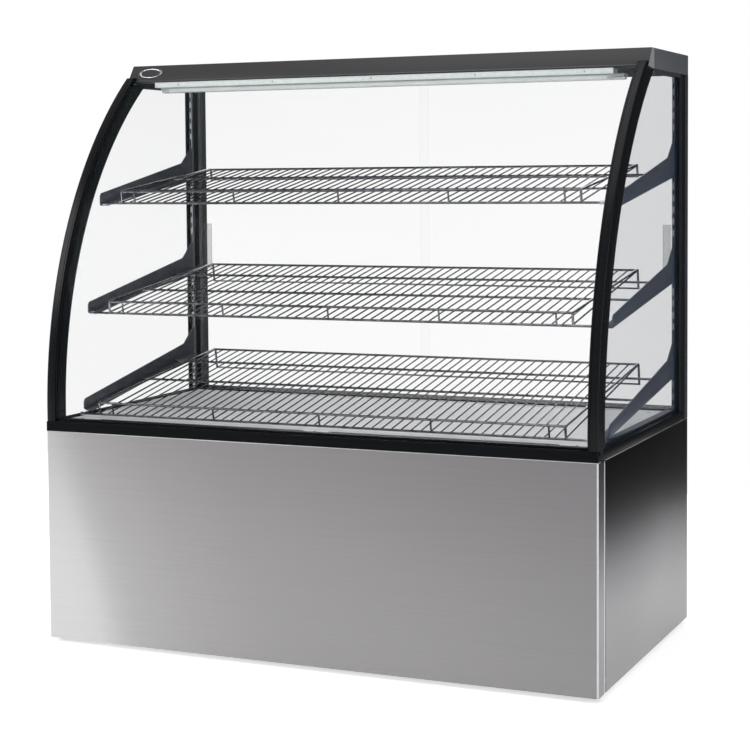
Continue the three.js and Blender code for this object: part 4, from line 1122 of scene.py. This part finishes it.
for sx in (-1, 1):
    for sy in (-1, 1):
        foot_at = (cx + sx * r * 0.95, cy + sy * r * 0.6, low.z)
        turned(
            bm, [(0, 0), (11, 0), (11, 2), (8, 4), (10.5, 6), (10.5, 8.6), (5, 9), (0, 9)], foot_at, "Z", 20
        )
        rod(bm, (foot_at[0], foot_at[1], low.z + 9), (foot_at[0], foot_at[1], low.z + 19), 3, 10)
piece("compressor_mounts", bm, "black_plastic", rubber)
bm = bmesh.new()
suction = [
    (cx + 20, cy + r - 6, low.z + 70), (cx + 20, cy + r + 16, low.z + 70),
    (cx + 24, cy + r + 26, low.z + 76), (cx + 24, cy + r + 28, low.z + 150),
    (cx + 30, cy + r + 28, low.z + 168), (cx + 60, cy + r + 20, low.z + 176),
    (cx + 150, cy + r + 10, low.z + 176)
]
suction += [(-158, cy + r + 40, low.z + 190), (-158, size_of("condenser_coil")[0].y + 14, low.z + 222)]
bent_rod(bm, suction, 4.2, 12)
rise = [
    (cx - 30, cy - r + 8, low.z + 90), (cx - 30, cy - r - 12, low.z + 90),
    (cx - 34, cy - r - 20, low.z + 98), (cx - 34, cy - r - 20, low.z + 150)
]
bent_rod(bm, rise, 5.2, 12)
rod(bm, (cx - 34, cy - r - 20, low.z + 148), (cx - 34, cy - r - 20, low.z + 170), 7.0, 12, 5.4)
piece("refrigerant_pipes", bm, "coil_metal", copper_tube)

# drain tray: thin walls, rolled rim and a finger lip outside the service panel
low, high = size_of("drain_tray")
service_out = size_of("service_panel")[1].y
bm = bmesh.new()
slab(bm, (low.x, high.x), (low.y, service_out - 5), (low.z, low.z + wall), 0.3)
for x0, x1 in ((low.x, low.x + wall), (high.x - wall, high.x)):
    slab(bm, (x0, x1), (low.y, service_out - 5), (low.z, high.z), 0.6)
slab(bm, (low.x, high.x), (low.y, low.y + wall), (low.z, high.z), 0.6)
slab(bm, (low.x, high.x), (service_out - 5.6, service_out - 0.6), (low.z, high.z), 1.2, 3)
slab(bm, (low.x, high.x), (service_out - 1.5, high.y), (low.z, low.z + 10), 2.0, 3)
piece("drain_tray_shell", bm, "white_plastic", moulded_white, body="drain_tray", replaces=["drain_tray"])

# service panel: pressed louvre hoods and screws
bm = bmesh.new()
for row in range(8):
    for column in range(3):
        x, z = (column - 1) * 110, 110 + row * 24
        hood = [
            (service_out - 1.0, z - 4), (service_out + 6, z - 7), (service_out + 6.6, z - 6),
            (service_out + 5.4, z - 2), (service_out + 2.4, z + 4), (service_out - 0.4, z + 6.5),
            (service_out - 0.9, z + 5.5), (service_out + 1.4, z + 2.6), (service_out + 4, z - 3.5)
        ]
        prism(bm, hood, "X", (x - 46, x + 46))
piece("louvre_hoods", bm, "brushed_steel", service_stainless)
bm = bmesh.new()
for x in (-585, -300, 0, 300, 585):
    for z in (22, 438):
        screw(bm, (x, service_out, z), "Y", 4)
piece("service_screws", bm, "galvanised", zinc_screw)

# controller: framed bezel, blank display, rocker frames, keys and inlet


def bar_frame(bm, x, z, bar, ys, soft):
    """A rectangle of four bars standing off the controller's face."""
    for xs, zs in (
        ((x[0], x[0] + bar), z), ((x[1] - bar, x[1]), z), (x, (z[1] - bar, z[1])), (x, (z[0], z[0] + bar))
    ):
        slab(bm, xs, ys, zs, soft)


paint(moulded_black, "controller")
low, high = size_of("controller")
face_y = high.y
control_z = (size_of("power_switch")[0].z + size_of("power_switch")[1].z) / 2
bm = bmesh.new()
bar_frame(bm, (low.x, high.x), (low.z, high.z), 3, (face_y - 0.5, face_y + 1.2), 0.5)
key_x = (size_of("set_key_up")[0].x + size_of("set_key_down")[1].x) / 2
slab(bm, (key_x - 30, key_x + 30), (face_y - 0.5, face_y + 0.9), (control_z + 11, control_z + 13), 0.4)
for node in ("power_switch", "light_switch"):
    s_low, s_high = size_of(node)
    x = (s_low.x + s_high.x) / 2
    bar_frame(bm, (x - 13, x + 13), (control_z - 18, control_z + 18), 2, (face_y - 0.4, face_y + 1.0), 0.3)
inlet_x = low.x + 34
bar_frame(
    bm, (inlet_x - 16.5, inlet_x + 16.5), (control_z - 13, control_z + 13), 3, (face_y - 0.4, face_y + 1.6),
    0.5
)
piece("control_frames", bm, "black_plastic", moulded_black)
bm = bmesh.new()
slab(bm, (key_x - 25, key_x + 25), (face_y - 0.3, face_y + 0.7), (control_z + 14, control_z + 29), 0.6)
piece("display_window", bm, "black_plastic", display_lens)
for node in ("power_switch", "light_switch"):
    s_low, s_high = size_of(node)
    x = (s_low.x + s_high.x) / 2
    pivot = face_y - 1.5
    bm = bmesh.new()
    prism(bm, [
        (pivot - 9, control_z - 11), (pivot + 3.4, control_z - 12), (pivot + 0.6, control_z),
        (pivot + 3.4, control_z + 12), (pivot - 9, control_z + 11), (pivot - 11, control_z)
    ], "X", (s_low.x + 0.3, s_high.x - 0.3), 0.8, 2)
    slab(bm, (x - 0.6, x + 0.6), (pivot + 1.6, pivot + 2.8), (control_z + 5, control_z + 9), 0.2)
    piece(
        node + "_rocker", bm, "black_plastic", moulded_black, body=node.replace("_switch", "_rocker"),
        replaces=[node]
    )
for node in ("set_key_up", "set_key_down"):
    k_low, k_high = size_of(node)
    k = (k_low + k_high) / 2
    bm = bmesh.new()
    r = (k_high.z - k_low.z) / 2
    turned(bm, [
        (0, k_low.y), (r, k_low.y), (r, k_high.y - 0.8), (r * 0.9, k_high.y - 0.2), (r * 0.6, k_high.y),
        (0, k_high.y - 0.3)
    ], (k.x, 0, k.z), "Y", 24)
    piece(node + "_cap", bm, "white_plastic", moulded_white, body=node.replace("set_", ""), replaces=[node])

# ---------------------------------------------------------------- floor, light and camera
FLOOR_BACK = 1.9  # the pale floor ends here, so that the dark of the room shows in the polished sides
bm = bmesh.new()
bmesh.ops.create_grid(bm, x_segments=1, y_segments=1, size=14)
for v in bm.verts:
    v.co.y = min(v.co.y, FLOOR_BACK)
floor_mesh = bpy.data.meshes.new("studio_floor")
bm.to_mesh(floor_mesh)
bm.free()
floor_mesh.materials.append(pale_floor)
floor = bpy.data.objects.new("studio_floor", floor_mesh)
bpy.context.scene.collection.objects.link(floor)

world = bpy.data.worlds.new("pale_studio")
bpy.context.scene.world = world
world.use_nodes = True
sky = world.node_tree
backdrop = add(sky, "Background", {"Color": srgb("#ffffff"), "Strength": 1.0})
aim = add(sky, "SeparateXYZ", {"Vector": add(sky, "TexCoord").outputs["Generated"]}).outputs["Y"]
fall = add(
    sky, "MapRange", {"Value": aim, "From Min": 0.15, "From Max": 0.75, "To Min": 0.52, "To Max": 0.05}
)
room = add(sky, "Background", {"Color": srgb("#f8f8fa"), "Strength": fall.outputs["Result"]})
seen = add(sky, "LightPath").outputs["Is Camera Ray"]
mixed = add(sky, "MixShader", {0: seen, 1: room.outputs[0], 2: backdrop.outputs[0]})
sky.links.new(mixed.outputs[0], sky.nodes["World Output"].inputs["Surface"])


def softbox(name, place, target, size, watts, tint="#ffffff"):
    light = bpy.data.lights.new(name, "AREA")
    light.shape = "RECTANGLE"
    light.size, light.size_y = size
    light.energy = watts
    light.color = srgb(tint)[:3]
    lamp = bpy.data.objects.new(name, light)
    lamp.location = place
    lamp.rotation_euler = (Vector(target) - Vector(place)).to_track_quat("-Z", "Y").to_euler()
    bpy.context.scene.collection.objects.link(lamp)


softbox("key_softbox", (-3.2, -3.4, 3.4), (0, 0, 0.7), (2.4, 2.4), 80)
softbox("top_softbox", (0.2, -0.6, 4.2), (0, 0, 0.8), (3.4, 3.0), 50)
softbox("right_strip", (3.4, -0.9, 1.4), (0.6, 0, 0.9), (0.4, 2.2), 16)
softbox("back_fill", (-1.0, 4.0, 2.2), (0, 0, 0.7), (2.6, 2.0), 40)

# The camera stands to the right of the case, a little above the middle, and looks slightly down.
YAW, PITCH, ROLL = math.radians(24.363), math.radians(3.240), math.radians(-0.476)
ahead = Vector((-math.sin(YAW) * math.cos(PITCH), math.cos(YAW) * math.cos(PITCH), -math.sin(PITCH)))
level = Vector((math.cos(YAW), math.sin(YAW), 0))
upward = level.cross(ahead)
across = level * math.cos(ROLL) + upward * math.sin(ROLL)
upright = -level * math.sin(ROLL) + upward * math.cos(ROLL)
view = bpy.data.cameras.new("camera")
view.sensor_width = 36
view.lens = 87.15
view.shift_x, view.shift_y = 0.0403, -0.1283
camera = bpy.data.objects.new("camera", view)
turn = Matrix((across, upright, -ahead)).transposed().to_4x4()
camera.matrix_world = Matrix.Translation((1.5432, -3.5440, 0.9806)) @ turn
bpy.context.scene.collection.objects.link(camera)
bpy.context.scene.camera = camera
bpy.context.scene.view_settings.view_transform = "Standard"
